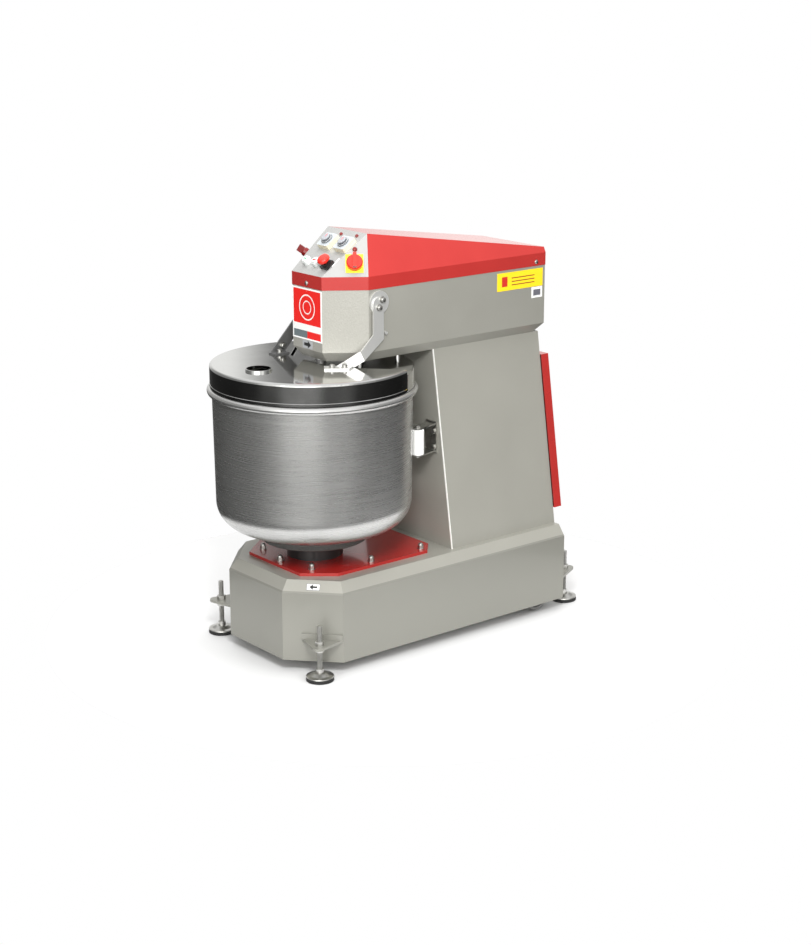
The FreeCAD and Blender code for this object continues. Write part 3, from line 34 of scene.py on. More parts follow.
# ----------------------------------------------------------------------------------------
# Shader writing
# ----------------------------------------------------------------------------------------
class Value:
    """A number that varies over a surface. Sums written with it add Math nodes."""

    def __init__(self, nodes, socket):
        self.nodes = nodes
        self.socket = socket

    def __add__(self, other):
        return self.nodes.math("ADD", self, other)

    def __radd__(self, other):
        return self.nodes.math("ADD", other, self)

    def __sub__(self, other):
        return self.nodes.math("SUBTRACT", self, other)

    def __rsub__(self, other):
        return self.nodes.math("SUBTRACT", other, self)

    def __mul__(self, other):
        return self.nodes.math("MULTIPLY", self, other)

    def __rmul__(self, other):
        return self.nodes.math("MULTIPLY", other, self)

    def __truediv__(self, other):
        return self.nodes.math("DIVIDE", self, other)

    def __gt__(self, other):
        return self.nodes.math("GREATER_THAN", self, other)

    def __lt__(self, other):
        return self.nodes.math("LESS_THAN", self, other)

    def __abs__(self):
        return self.nodes.math("ABSOLUTE", self)

    def root(self):
        return self.nodes.math("SQRT", self)

    def sine(self):
        return self.nodes.math("SINE", self)

    def fraction(self):
        return self.nodes.math("FRACT", self)

    def either(self, other):
        """The larger of two masks."""
        return self.nodes.math("MAXIMUM", self, other)

    def between(self, low, high):
        return (self > low) * (self < high)


def opaque(colour):
    """Adds the alpha to a colour of three numbers. A link stays as it is."""
    return (*colour, 1.0) if isinstance(colour, tuple) else colour


def set_stops(ramp, stops):
    """Gives a ramp its warm greys, each at its share of the ramp's length."""
    ramp.interpolation = "EASE"
    while len(ramp.elements) < len(stops):
        ramp.elements.new(0.5)
    for element, (share, grey) in zip(ramp.elements, stops):
        element.position = share
        element.color = (grey, grey, grey * 0.98, 1)


class Nodes:
    """The node tree of a material or a world, and the ways to add to it."""

    def __init__(self, tree):
        self.tree = tree

    def node(self, kind, settings, inputs):
        """Adds a node. Its settings go in first, then the values or links of its sockets."""
        item = self.tree.nodes.new(kind)
        for name, value in settings.items():
            if name == "stops":
                set_stops(item.color_ramp, value)
            else:
                setattr(item, name, value)
        for name, value in inputs.items():
            self.feed(item.inputs[name], value)
        return item

    def feed(self, socket, value):
        if isinstance(value, Value):
            self.tree.links.new(value.socket, socket)
        elif isinstance(value, bpy.types.NodeSocket):
            self.tree.links.new(value, socket)
        else:
            socket.default_value = value

    def math(self, operation, first, second=0.0):
        item = self.node("ShaderNodeMath", {"operation": operation}, {0: first, 1: second})
        return Value(self, item.outputs[0])

    def parts(self, vector):
        """The x, y and z of a vector."""
        split = self.node("ShaderNodeSeparateXYZ", {}, {0: vector})
        return [Value(self, split.outputs[index]) for index in range(3)]

    def mix(self, factor, first, second):
        """A colour that goes from the first at factor 0 to the second at factor 1."""
        blend = self.node("ShaderNodeMix", {"data_type": "RGBA"},
                          {0: factor, 6: opaque(first), 7: opaque(second)})
        return blend.outputs[2]

    def rescale(self, value, low, high, least=0.0):
        """Runs from the least at low to 1 at high, and stays level beyond them."""
        item = self.node("ShaderNodeMapRange", {}, {
            "Value": value, "From Min": low, "From Max": high, "To Min": least})
        return Value(self, item.outputs[0])


class Finish(Nodes):
    """One material: a Principled shader and the nodes that vary it."""

    def __init__(self, name, colour, roughness=0.5, metallic=0.0, coat=0.0):
        self.material = bpy.data.materials.new(name)
        self.material.use_nodes = True
        super().__init__(self.material.node_tree)
        self.shader = self.tree.nodes["Principled BSDF"]
        self.coordinates = None
        self.set("Base Color", opaque(colour))
        self.set("Roughness", roughness)
        self.set("Metallic", metallic)
        self.set("Coat Weight", coat)
        self.set("Coat Roughness", 0.08)

    def set(self, name, value):
        self.feed(self.shader.inputs[name], value)

    def place(self):
        """The point of the machine that is being coloured."""
        if self.coordinates is None:
            self.coordinates = self.node("ShaderNodeTexCoord", {}, {}).outputs["Object"]
        return self.coordinates

    def along(self, direction, origin=(0, 0, 0)):
        """Distance of a point from an origin, measured along a direction."""
        moved = self.node("ShaderNodeVectorMath", {"operation": "SUBTRACT"},
                          {0: self.place(), 1: tuple(origin)})
        reach = self.node("ShaderNodeVectorMath", {"operation": "DOT_PRODUCT"},
                          {0: moved.outputs[0], 1: tuple(direction)})
        return Value(self, reach.outputs["Value"])

    def facing(self):
        """The x, y and z of the way that the surface faces."""
        return self.parts(self.node("ShaderNodeNewGeometry", {}, {}).outputs["Normal"])

    def noise(self, scale, stretch=(1, 1, 1), detail=3.0, roughness=0.5):
        pulled = self.node("ShaderNodeVectorMath", {"operation": "MULTIPLY"},
                           {0: self.place(), 1: stretch})
        cloud = self.node("ShaderNodeTexNoise", {}, {
            "Vector": pulled.outputs[0], "Scale": scale, "Detail": detail,
            "Roughness": roughness})
        return Value(self, cloud.outputs["Fac"])

    def cells(self, scale):
        grain = self.node("ShaderNodeTexVoronoi", {"feature": "SMOOTH_F1"},
                          {"Vector": self.place(), "Scale": scale})
        return Value(self, grain.outputs["Distance"])

    def bump(self, height, distance, strength):
        item = self.node("ShaderNodeBump", {}, {
            "Height": height, "Distance": distance, "Strength": strength})
        self.set("Normal", item.outputs[0])


# ----------------------------------------------------------------------------------------
# Paints
# ----------------------------------------------------------------------------------------
ENAMEL = (0.36, 0.355, 0.315)
ENAMEL_DARK = (0.31, 0.305, 0.27)
ENAMEL_LIGHT = (0.43, 0.42, 0.375)
# Painted shade on the base, below its bent top edge
ENAMEL_BASE_SHADE = (0.17, 0.17, 0.15)
# Painted highlight along the column's front bends
ENAMEL_BEND_HIGHLIGHT = (0.95, 0.94, 0.9)
HAMMERED_LIGHT = (0.5, 0.49, 0.45)
COVER_RED_DARK = (0.34, 0.022, 0.02)
COVER_RED = (0.4, 0.03, 0.026)
PLATE_RED_DARK = (0.3, 0.012, 0.01)
PLATE_RED = (0.38, 0.018, 0.015)
FOIL_DARK = (0.36, 0.36, 0.35)
FOIL_LIGHT = (0.45, 0.45, 0.44)

BASE_BEND_TALL = 0.03       # the bent top edge of the base, which the painted shade leaves out
COLUMN_TOP_HALF = 0.132     # half of the column's width at its top
BEND_WIDE = 0.0035          # how wide the painted highlight is along a bend


def column_bend_highlight(paint):
    """The two front bends of the column, where a bright line is painted as their highlight."""
    low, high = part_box("column_shell")
    lean = (high[0] - COLUMN_TOP_HALF) / (high[2] - low[2])
    x, y, z = paint.parts(paint.place())
    edge = high[0] - (z - low[2]) * lean
    near_side = (edge - abs(x)) < BEND_WIDE
    near_front = y.between(low[1] - BEND_WIDE, low[1] + BEND_WIDE)
    return near_side * near_front * (z > low[2])


def grey_paint():
    """Metallic grey stove enamel with an orange-peel skin, painted shade on the base and a
    painted highlight along the column's front bends.
    """
    paint = Finish("grey_paint", ENAMEL, roughness=0.38, metallic=0.35, coat=0.25)
    cloud = paint.noise(5, detail=4)
    fleck = paint.noise(900, detail=2)
    _, base_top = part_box("base_shell")
    shaded_base = paint.along((0, 0, 1)) < base_top[2] - BASE_BEND_TALL
    skin = paint.mix(cloud * 0.35 + fleck * 0.25, ENAMEL_DARK, ENAMEL_LIGHT)
    # painted shade: the base is darkened below its bent top edge
    skin = paint.mix(shaded_base * 0.55, skin, ENAMEL_BASE_SHADE)
    # painted highlight: a bright line along the column's two front bends
    paint.set("Base Color", paint.mix(column_bend_highlight(paint), skin, ENAMEL_BEND_HIGHLIGHT))
    paint.set("Roughness", 0.33 + cloud * 0.12)
    paint.bump(paint.noise(420, detail=2), distance=0.0004, strength=0.25)
    return paint


def hammered_paint():
    """The same enamel with its coarse hammered skin on the faces that look forward."""
    paint = Finish("hammered_paint", ENAMEL, roughness=0.38, metallic=0.35, coat=0.3)
    _, forward, _ = paint.facing()
    front = forward < -0.3
    grain = paint.cells(230) * 0.6 + paint.noise(310, detail=3) * 0.4
    cloud = paint.noise(5, detail=4)
    light = cloud * 0.3 + grain * front * 0.5
    paint.set("Base Color", paint.mix(light, ENAMEL_DARK, HAMMERED_LIGHT))
    paint.set("Roughness", 0.34 + cloud * 0.1)
    paint.bump(grain * (0.15 + front), distance=0.0012, strength=0.5)
    return paint


def red_gloss(name, colour):
    """Red paint before its colour is varied: a wet coat over a faint orange peel."""
    paint = Finish(name, colour, roughness=0.22, coat=0.6)
    paint.bump(paint.noise(260, detail=2), distance=0.0003, strength=0.15)
    return paint


def dark_red_paint():
    paint = red_gloss("dark_red_paint", PLATE_RED)
    cloud = paint.noise(6, detail=3)
    paint.set("Base Color", paint.mix(cloud, PLATE_RED_DARK, PLATE_RED))
    paint.set("Roughness", 0.2 + cloud * 0.1)
    return paint


def cover_paint():
    """Red gloss paint, with the sloping panel and its corners in satin grey foil."""
    paint = red_gloss("cover_paint", COVER_RED)
    _, forward, upward = paint.facing()
    panel = (forward < -0.4) * (upward > 0.3)
    red = paint.mix(paint.noise(6, detail=3), COVER_RED_DARK, COVER_RED)
    foil = paint.mix(paint.noise(1200, detail=2), FOIL_DARK, FOIL_LIGHT)
    paint.set("Base Color", paint.mix(panel, red, foil))
    paint.set("Roughness", 0.22 + panel * 0.13)
    paint.set("Metallic", panel * 0.4)
    return paint


# ----------------------------------------------------------------------------------------
# Metals
# ----------------------------------------------------------------------------------------
BRUSHED = (0.6, 0.59, 0.57)
BRUSHED_DARK = (0.5, 0.5, 0.495)
BRUSHED_LIGHT = (0.85, 0.845, 0.83)
# Painted shade towards the bottom of the bowl
BOWL_UNDERSIDE_SHADE = (0.36, 0.36, 0.355)
POLISHED = (0.7, 0.7, 0.69)
POLISHED_DARK = (0.62, 0.62, 0.61)
POLISHED_LIGHT = (0.78, 0.78, 0.77)
BRIGHT = (0.8, 0.8, 0.78)
# Painted shade on the left lid strap and its pin
LEFT_STRAP_SHADE = (0.22, 0.22, 0.22)
ZINC = (0.6, 0.6, 0.57)
ZINC_DARK = (0.42, 0.41, 0.38)
ZINC_LIGHT = (0.7, 0.7, 0.68)
SOLE_RUBBER = (0.012, 0.012, 0.012)
IRON = (0.05, 0.05, 0.048)
IRON_DARK = (0.02, 0.02, 0.02)
IRON_LIGHT = (0.16, 0.155, 0.145)

BOWL_ROUNDING = 0.12        # height of the bowl's rounded underside
LEFT_STRAP = -0.1           # the left lid strap and its pin are beyond this x
SOLE_TOP = 0.0112           # top of a foot's rubber sole
STUD_LOW = 0.037            # where a foot's threaded stud begins
THREAD_PITCH = 0.002


def brushed_bowl():
    """Stainless steel spun and brushed round the bowl's axis, with painted shade darkening it
    towards its rounded underside.
    """
    steel = Finish("brushed_bowl", BRUSHED, roughness=0.25, metallic=0.9)
    lines = steel.noise(9, stretch=(0.5, 0.5, 45), detail=5, roughness=0.65)
    patches = steel.noise(9, stretch=(1, 1, 0.5), detail=3)
    low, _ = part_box("bowl")
    underside = (low[2] + BOWL_ROUNDING - steel.along((0, 0, 1))) * 7.0
    skin = steel.mix(lines * 0.35 + patches * 0.5, BRUSHED_DARK, BRUSHED_LIGHT)
    # painted shade: the steel darkens towards the bowl's rounded underside
    steel.set("Base Color", steel.mix(underside, skin, BOWL_UNDERSIDE_SHADE))
    steel.set("Roughness", 0.2 + lines * 0.16)
    steel.bump(lines, distance=0.0001, strength=0.06)
    return steel


def polished_steel():
    """Mirror polished sheet with wiped smears."""
    steel = Finish("polished_steel", POLISHED, roughness=0.08, metallic=1.0)
    smear = steel.noise(11, detail=4)
    steel.set("Base Color", steel.mix(smear, POLISHED_DARK, POLISHED_LIGHT))
    steel.set("Roughness", 0.05 + smear * 0.1)
    return steel


def bright_steel():
    """Bright flat bar with scratches along its height. The left strap and its pin are painted
    dark as shade.
    """
    steel = Finish("bright_steel", BRIGHT, roughness=0.3, metallic=0.7)
    x, _, _ = steel.parts(steel.place())
    scratch = steel.noise(120, stretch=(1, 1, 0.1), detail=4)
    # painted shade: the left strap and its pin are coloured dark
    steel.set("Base Color", steel.mix(x < LEFT_STRAP, BRIGHT, LEFT_STRAP_SHADE))
    steel.set("Roughness", 0.22 + scratch * 0.2)
    steel.bump(scratch, distance=0.0001, strength=0.2)
    return steel


def zinc_plate():
    """Zinc plating with its faint spangle and dull patches."""
    zinc = Finish("zinc_plate", ZINC, roughness=0.3, metallic=1.0)
    spangle = zinc.noise(70, detail=4)
    zinc.set("Base Color", zinc.mix(spangle, ZINC_DARK, ZINC_LIGHT))
    zinc.set("Roughness", 0.2 + spangle * 0.25)
    return zinc


def levelling_foot():
    """Zinc plated dish and stud on a black rubber sole; the thread shows on the stud."""
    foot = Finish("levelling_foot", ZINC, roughness=0.3, metallic=1.0)
    _, _, height = foot.parts(foot.place())
    rubber = height < SOLE_TOP
    stud = height > STUD_LOW
    zinc = foot.mix(foot.noise(70, detail=4), ZINC_DARK, ZINC_LIGHT)
    foot.set("Base Color", foot.mix(rubber, zinc, SOLE_RUBBER))
    foot.set("Metallic", 1.0 - rubber)
    foot.set("Roughness", 0.28 + rubber * 0.4)
    thread = (height * (2 * math.pi / THREAD_PITCH)).sine()
    foot.bump(thread * stud, distance=0.0006, strength=0.9)
    return foot


def cast_iron():
    iron = Finish("cast_iron", IRON, roughness=0.7, metallic=0.4)
    grain = iron.noise(260, detail=5)
    iron.set("Base Color", iron.mix(grain, IRON_DARK, IRON_LIGHT))
    iron.bump(grain, distance=0.0015, strength=0.6)
    return iron


# ----------------------------------------------------------------------------------------
# Plastics, rubber and plain paint
# ----------------------------------------------------------------------------------------
def moulded(name, dark, light, roughness, coat=0.0):
    """A moulding or a thick paint with a fine grain, between two close colours."""
    finish = Finish(name, light, roughness, coat=coat)
    speck = finish.noise(500, detail=3)
    finish.set("Base Color", finish.mix(speck, dark, light))
    finish.set("Roughness", roughness - 0.05 + speck * 0.1)
    finish.bump(speck, distance=0.0002, strength=0.3)
    return finish


def black_moulding():
    return moulded("black_moulding", (0.006, 0.006, 0.006), (0.02, 0.02, 0.02), 0.4, coat=0.3)


def wheel_rubber():
    return moulded("wheel_rubber", (0.1, 0.1, 0.1), (0.2, 0.2, 0.19), 0.7)


def red_moulding():
    return moulded("red_moulding", (0.6, 0.02, 0.015), (0.72, 0.035, 0.02), 0.25, coat=0.5)


def dark_red_moulding():
    return moulded("dark_red_moulding", (0.12, 0.004, 0.004), (0.2, 0.008, 0.008), 0.2, coat=0.6)


def nylon():
    return moulded("nylon", (0.78, 0.78, 0.76), (0.88, 0.88, 0.86), 0.4)


def white_moulding():
    return moulded("white_moulding", (0.6, 0.62, 0.61), (0.72, 0.74, 0.73), 0.3, coat=0.3)


def cream_box():
    return moulded("cream_box", (0.6, 0.57, 0.45), (0.7, 0.66, 0.53), 0.45)


def belt_rubber():
    return moulded("belt_rubber", (0.01, 0.01, 0.01), (0.03, 0.03, 0.03), 0.7)


def motor_paint():
    return moulded("motor_paint", (0.04, 0.07, 0.12), (0.07, 0.11, 0.17), 0.4, coat=0.2)


# ----------------------------------------------------------------------------------------
# Faces of the controls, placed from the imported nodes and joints
# ----------------------------------------------------------------------------------------
CAP_WHITE = (0.75, 0.76, 0.74)
START_GREEN = (0.02, 0.3, 0.12)
STOP_RED = (0.6, 0.02, 0.02)
BAR_HALF_LONG = 0.0075
BAR_HALF_WIDE = 0.0026

DIAL_BLACK = (0.1, 0.1, 0.1)
DIAL_GREY = (0.09, 0.1, 0.11)
MARK_WHITE = (0.8, 0.8, 0.78)
POINTER_GREY = (0.3, 0.31, 0.33)
POINTER_RED = (0.7, 0.05, 0.05)
POINTER_DISC_RADIUS = 0.0142
POINTER_LONG = 0.012
POINTER_HALF_WIDE = 0.0012
MARKS_FROM = 0.0152
MARKS_TO = 0.0182
MARKS_ROUND = 24
MARK_SHARE = 0.28           # share of each division that its mark takes

CREAM = (0.7, 0.66, 0.5)
CREAM_DARK = (0.66, 0.6, 0.42)
CREAM_LIGHT = (0.76, 0.71, 0.54)
WINDOW_GREY = (0.4, 0.43, 0.45)
WINDOW_HEIGHT = 0.0158      # the window begins this far above the timer's pivot

SWITCH_YELLOW = (0.85, 0.6, 0.03)
SWITCH_YELLOW_DARK = (0.8, 0.55, 0.02)
SWITCH_YELLOW_LIGHT = (0.9, 0.66, 0.05)
SELECTOR_GREY = (0.3, 0.3, 0.3)


def middle(node):
    low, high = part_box(node)
    return (Vector(low) + Vector(high)) / 2


def joint_named(name):
    return next(item for item in frame["joints"] if item["name"] == name)


PANEL_OUT = -Vector(joint_named("start_press")["axis"]).normalized()
PANEL_ACROSS = Vector((1, 0, 0))
PANEL_UP = PANEL_OUT.cross(PANEL_ACROSS)


def button_face(name, button, ink):
    """White cap with a coloured bar across it."""
    cap = Finish(name, CAP_WHITE, roughness=0.3, coat=0.3)
    spot = middle(button)
    across = abs(cap.along(PANEL_ACROSS, spot))
    up = abs(cap.along(PANEL_UP, spot))
    bar = (across < BAR_HALF_LONG) * (up < BAR_HALF_WIDE)
    cap.set("Base Color", cap.mix(bar, CAP_WHITE, ink))
    return cap


def timer_face(side):
    """Dark dial with light division marks round its pointer."""
    face = Finish(f"timer_face_{side}", DIAL_BLACK, roughness=0.35, coat=0.4)
    pivot = Vector(joint_named(f"timer_{side}_turn")["pos_m"])
    x = face.along(PANEL_ACROSS, pivot)
    y = face.along(PANEL_UP, pivot)
    radius = (x * x + y * y).root()
    division = face.math("ARCTAN2", y, x) * (MARKS_ROUND / (2 * math.pi))
    mark = (division.fraction() < MARK_SHARE) * radius.between(MARKS_FROM, MARKS_TO)
    hand = (abs(x) < POINTER_HALF_WIDE) * y.between(0.0, POINTER_LONG)
    dial = face.mix(mark, DIAL_GREY, MARK_WHITE)
    pointer = face.mix(hand, POINTER_GREY, POINTER_RED)
    face.set("Base Color", face.mix(radius < POINTER_DISC_RADIUS, dial, pointer))
    return face


def timer_case():
    """Cream case with a clear grey window over its dial."""
    case = Finish("timer_case", CREAM, roughness=0.35, coat=0.2)
    pivot = Vector(joint_named("timer_left_turn")["pos_m"])
    window = case.along(PANEL_OUT, pivot) > WINDOW_HEIGHT
    cream = case.mix(case.noise(400, detail=3), CREAM_DARK, CREAM_LIGHT)
    case.set("Base Color", case.mix(window, cream, WINDOW_GREY))
    return case


def switch_plate_film():
    """Yellow plate behind the main switch, on the right, and a grey one on the left."""
    plate = Finish("switch_plate", SWITCH_YELLOW, roughness=0.35)
    x, _, _ = plate.parts(plate.place())
    yellow = plate.mix(plate.noise(300, detail=3), SWITCH_YELLOW_DARK, SWITCH_YELLOW_LIGHT)
    plate.set("Base Color", plate.mix(x < 0, yellow, SELECTOR_GREY))
    return plate


# ----------------------------------------------------------------------------------------
# Name plate and printed labels
# ----------------------------------------------------------------------------------------
NAMEPLATE_RED = (0.62, 0.018, 0.016)
NAMEPLATE_FIELD = (0.72, 0.02, 0.016)
NAMEPLATE_RING = (0.8, 0.78, 0.76)
NAMEPLATE_BLOCK = (0.13, 0.16, 0.17)
NAMEPLATE_BAND = (0.8, 0.8, 0.78)
NAMEPLATE_BORDER = (0.85, 0.85, 0.84)
BLOCK_HIGH = 0.17           # heights on the plate are shares of it
BAND_HIGH = 0.3
RING_HEIGHT = 0.63

FILM_WHITE = (0.8, 0.8, 0.78)
LABEL_WHITE = (0.78, 0.78, 0.76)
LABEL_GREY = (0.35, 0.36, 0.37)
LABEL_RIM = (0.25, 0.25, 0.25)
INK = (0.02, 0.02, 0.02)
NOTICE_YELLOW = (0.83, 0.6, 0.02)
NOTICE_BROWN = (0.25, 0.05, 0.02)
NOTICE_RED = (0.5, 0.03, 0.02)
RATING_INK = (0.12, 0.12, 0.14)

HEAD_LABEL_LOW = 0.9        # the head's label is above this height
HEAD_ARROW_HEIGHT = 0.9725
SLOPE_LABEL_HIGH = 0.4      # the label on the base's sloping edge is below this height
SLOPE_LABEL = Vector((0.2016, -0.4615, 0.2735))
SLOPE_LEFT = Vector((-0.7305, -0.683, 0))
SLOPE_UP = Vector((-0.422, 0.4515, 0.786))
SIDE_LABELS = 0.15          # both side labels are beyond this x
NOTICE_LOW = 1.082
ROWS_LOW = 1.083
ROWS_PER_METRE = 90.0
RATING_HIGH = 1.0815
RATING_LOW = 0.5


def nameplate_film():
    """Plain red plate with a white border, a pale ring, a white band and a grey block."""
    film = Finish("nameplate_film", NAMEPLATE_RED, roughness=0.3, coat=0.3)
    low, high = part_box("nameplate")
    wide, tall = high[0] - low[0], high[2] - low[2]
    x, _, z = film.parts(film.place())
    across = (x - low[0]) / wide
    up = (z - low[2]) / tall
    inside = across.between(0.035, 0.965) * up.between(0.03, 0.97)
    ring_x = (across - 0.5) * wide
    ring_z = (up - RING_HEIGHT) * tall
    reach = (ring_x * ring_x + ring_z * ring_z).root()
    rings = reach.between(0.036, 0.04) + reach.between(0.018, 0.021)
    colour = film.mix(rings, NAMEPLATE_FIELD, NAMEPLATE_RING)
    colour = film.mix((up < BLOCK_HIGH) * (across < 0.5), colour, NAMEPLATE_BLOCK)
    colour = film.mix(up.between(BLOCK_HIGH, BAND_HIGH), colour, NAMEPLATE_BAND)
    film.set("Base Color", film.mix(inside, NAMEPLATE_BORDER, colour))
    film.set("Roughness", 0.28 + film.noise(30) * 0.1)
    return film


def arrow_mask(across, up, long, tall):
    """A block arrow that points along the first direction."""
    shaft = across.between(-long * 0.35, long * 0.05) * (abs(up) < tall * 0.1)
    head = across.between(long * 0.02, long * 0.35)
    taper = abs(up) < (long * 0.35 - across) * 0.75
    return shaft.either(head * taper)


def head_label(film, colour):
    """Grey label under the name plate, with a dark arrow to the right."""
    plate_low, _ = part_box("nameplate")
    x, y, z = film.parts(film.place())
    on_head = (y < plate_low[1] + 0.004) * (z > HEAD_LABEL_LOW)
    arrow = arrow_mask(x, z - HEAD_ARROW_HEIGHT, long=0.05, tall=0.05)
    return film.mix(on_head * arrow, film.mix(on_head, colour, LABEL_GREY), INK)


def slope_label(film, colour):
    """White label with a grey rim on the base's sloping edge, with an arrow to the left."""
    _, _, height = film.parts(film.place())
    on_slope = height < SLOPE_LABEL_HIGH
    along = film.along(SLOPE_LEFT, SLOPE_LABEL)
    across = film.along(SLOPE_UP, SLOPE_LABEL)
    rim = (abs(along) > 0.019).either(abs(across) > 0.009)
    colour = film.mix(on_slope * rim, colour, LABEL_RIM)
    return film.mix(on_slope * arrow_mask(along, across, long=0.036, tall=0.03), colour, INK)


def side_labels(film, colour):
    """Yellow notice with a red badge and lines of dashes, over a small rating plate."""
    x, y, z = film.parts(film.place())
    on_side = x > SIDE_LABELS
    row = ((z - ROWS_LOW) * ROWS_PER_METRE).fraction().between(0.3, 0.6)
    words = row * y.between(0.375, 0.475) * z.between(1.09, 1.128)
    badge = (abs(y - 0.345) < 0.012) * (abs(z - 1.112) < 0.016)
    notice = film.mix(words, NOTICE_YELLOW, NOTICE_BROWN)
    notice = film.mix(badge, notice, NOTICE_RED)
    colour = film.mix(on_side * (z > NOTICE_LOW), colour, notice)
    block = (abs(y - 0.4865) < 0.016) * (abs(z - 1.063) < 0.01)
    return film.mix(on_side * z.between(RATING_LOW, RATING_HIGH) * block, colour, RATING_INK)


def label_film():
    """Small printed labels, all on one node: two arrows, a notice and a rating plate."""
    film = Finish("label_film", FILM_WHITE, roughness=0.35)
    colour = head_label(film, LABEL_WHITE)
    colour = slope_label(film, colour)
    film.set("Base Color", side_labels(film, colour))
    film.set("Roughness", 0.3 + film.noise(40) * 0.1)
    return film


# ----------------------------------------------------------------------------------------
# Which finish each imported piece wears
# ----------------------------------------------------------------------------------------
def dress(finish, *names):
    for name in names:
        mesh = NODES[name].data
        mesh.materials.clear()
        mesh.materials.append(finish.material)


def dress_casings():
    dress(grey_paint(), "base_shell", "column_shell", "foot_brackets")
    dress(hammered_paint(), "head_shell")
    dress(cover_paint(), "head_cover")
    dress(dark_red_paint(), "rear_cover", "turntable_plate")


def dress_metals():
    dress(brushed_bowl(), "bowl", "spiral_hook", "breaker_bar")
    dress(polished_steel(), "lid_front", "lid_rear")
    dress(bright_steel(), "lid_arms", "lid_pins", "spiral_shaft", "bowl_shaft",
          "shaft_bearings")
    dress(zinc_plate(), "base_floor", "foot_nuts", "turntable_nuts", "lid_bolts",
          "cover_screws", "roller_brackets", "wheel_stubs", "head_frame")
    dress(levelling_foot(), "foot_front_right", "foot_front_left", "foot_rear_right",
          "foot_rear_left")
    dress(cast_iron(), "bowl_flange", "spiral_housing", "bowl_pulley", "spiral_pulley",
          "spiral_motor_pulley", "bowl_motor_pulley")


def dress_mouldings():
    dress(black_moulding(), "bowl_drum", "estop_base", "cable_gland")
    dress(wheel_rubber(), "transport_wheel_right", "transport_wheel_left")
    dress(red_moulding(), "estop_head", "main_switch_knob")
    dress(dark_red_moulding(), "selector_knob", "panel_lamps")
    dress(nylon(), "roller_right", "roller_left")
    dress(white_moulding(), "button_rings")
    dress(cream_box(), "control_box")
    dress(belt_rubber(), "bowl_belt", "spiral_belts")
    dress(motor_paint(), "spiral_motor", "bowl_motor")


def dress_controls():
    dress(button_face("start_face", "start_button", START_GREEN), "start_button")
    dress(button_face("stop_face", "stop_button", STOP_RED), "stop_button")
    for side in ("left", "right"):
        dress(timer_face(side), f"timer_knob_{side}")
    dress(timer_case(), "timer_housings")
    dress(nameplate_film(), "nameplate")
    dress(label_film(), "labels")
    dress(switch_plate_film(), "switch_plates")


# ----------------------------------------------------------------------------------------
# Camera, floor and light
# ----------------------------------------------------------------------------------------
CAMERA_SPOT = Vector((4.4864, -3.6058, 2.1555))
CAMERA_TARGET = Vector((-0.0053, 0.0695, 0.4934))
LENS = 70.57
SENSOR_WIDTH = 36

FLOOR_RADIUS = 1.12
FLOOR_DROP = 0.001
FLOOR_PALE = (0.65, 0.65, 0.65)

# Brightness of the studio's wall, at its share of a turn from the machine's left side
# round by its front, its right side and its back.
STUDIO = [(0.0, 0.35), (0.06, 0.25), (0.12, 0.22), (0.20, 0.32), (0.27, 1.0), (0.33, 2.8),
          (0.40, 3.0), (0.45, 1.1), (0.50, 1.5), (0.55, 0.5), (0.62, 0.25), (0.72, 0.2),
          (0.80, 0.4), (0.883, 1.0), (0.893, 0.9), (0.899, 0.17), (0.902, 0.22), (0.906, 1.0),
          (0.94, 0.9), (1.0, 0.35)]
WHITE = (1.0, 1.0, 1.0)
CEILING = (0.95, 0.95, 0.95)
CEILING_FROM = 0.45         # heights of a direction: 0 is level, 1 is straight up
CEILING_TO = 0.8
FLOOR_FROM = -0.06
FLOOR_TO = -0.21
FLOOR_SHARE = 0.06          # how much of the wall's brightness is left below the floor's edge


def look_from(spot, target):
    return (Vector(target) - Vector(spot)).to_track_quat("-Z", "Y").to_matrix().to_4x4()


def make_camera():
    data = bpy.data.cameras.new("camera")
    data.lens = LENS
    data.sensor_width = SENSOR_WIDTH
    camera = bpy.data.objects.new("camera", data)
    camera.matrix_world = Matrix.Translation(CAMERA_SPOT) @ look_from(CAMERA_SPOT, CAMERA_TARGET)
    bpy.context.scene.collection.objects.link(camera)
    bpy.context.scene.camera = camera


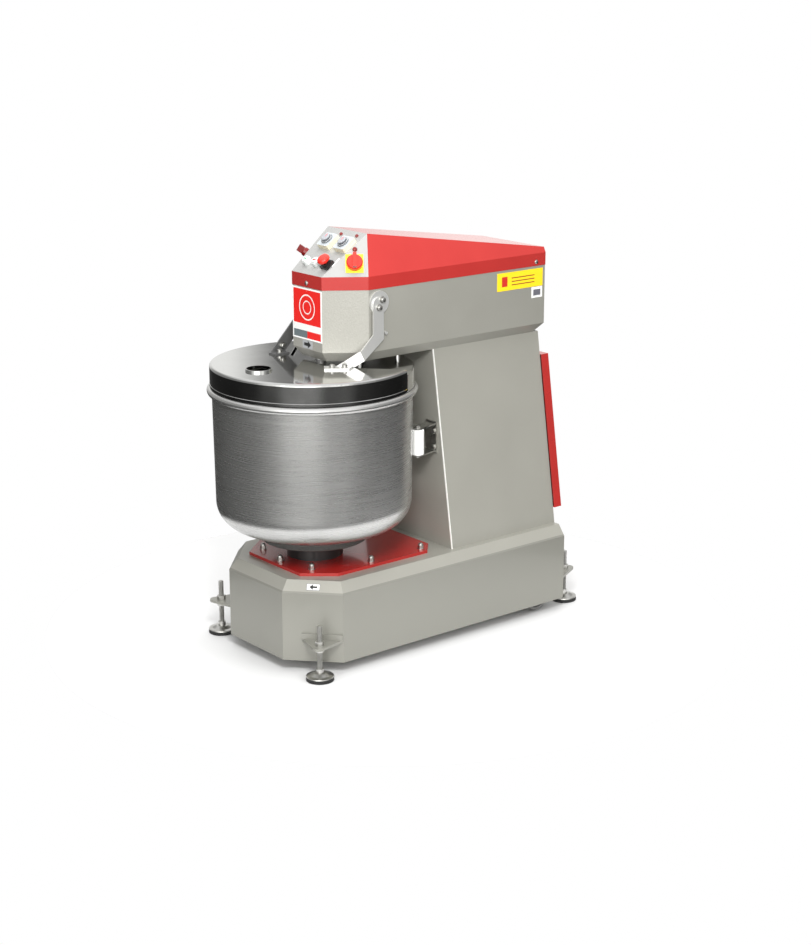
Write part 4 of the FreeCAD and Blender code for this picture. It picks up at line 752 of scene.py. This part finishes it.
def make_floor():
    """A round pale floor, small enough that the bowl's wall mirrors the room beyond it."""
    mesh = bpy.data.meshes.new("floor")
    build = bmesh.new()
    bmesh.ops.create_circle(build, cap_ends=True, segments=96, radius=FLOOR_RADIUS)
    build.to_mesh(mesh)
    build.free()
    mesh.materials.append(Finish("floor", FLOOR_PALE, roughness=0.9).material)
    floor = bpy.data.objects.new("floor", mesh)
    floor.location.z = -FLOOR_DROP
    bpy.context.scene.collection.objects.link(floor)


def area_light(name, spot, target, side, power):
    """A square soft light that isn't seen in the polished steel."""
    data = bpy.data.lights.new(name, "AREA")
    data.shape = "RECTANGLE"
    data.size = side
    data.size_y = side
    data.energy = power
    light = bpy.data.objects.new(name, data)
    light.matrix_world = Matrix.Translation(spot) @ look_from(spot, target)
    light.visible_glossy = False
    bpy.context.scene.collection.objects.link(light)


def studio_room(studio):
    """What the machine reflects: pale walls with dark cards, a ceiling and a dark floor."""
    direction = studio.node("ShaderNodeTexCoord", {}, {}).outputs["Generated"]
    x, y, height = studio.parts(direction)
    turn = studio.rescale(studio.math("ARCTAN2", y, x), -math.pi, math.pi)
    walls = studio.node("ShaderNodeValToRGB", {"stops": STUDIO}, {0: turn})
    above_floor = studio.rescale(height, FLOOR_TO, FLOOR_FROM, least=FLOOR_SHARE)
    dimmed = studio.node("ShaderNodeVectorMath", {"operation": "SCALE"},
                         {0: walls.outputs[0], "Scale": above_floor})
    overhead = studio.rescale(height, CEILING_FROM, CEILING_TO)
    return studio.mix(overhead, dimmed.outputs[0], CEILING)


def studio_world():
    """White behind the machine, and the studio in what it reflects."""
    world = bpy.data.worlds.new("studio")
    world.use_nodes = True
    studio = Nodes(world.node_tree)
    rays = studio.node("ShaderNodeLightPath", {}, {})
    seen = studio.mix(rays.outputs["Is Camera Ray"], studio_room(studio), WHITE)
    studio.feed(studio.tree.nodes["Background"].inputs["Color"], seen)
    bpy.context.scene.world = world


def make_light():
    studio_world()
    area_light("key", (2.0, -1.6, 2.3), (0.1, -0.25, 1.0), side=0.7, power=72)
    area_light("side", (3.8, 0.8, 2.6), (0.1, 0.2, 0.9), side=1.2, power=40)
    area_light("top", (-0.2, 0.2, 4.2), (0, 0, 0.5), side=3.0, power=150)
    bpy.context.scene.view_settings.view_transform = "Standard"


make_camera()
make_floor()
make_light()
dress_casings()
dress_metals()
dress_mouldings()
dress_controls()
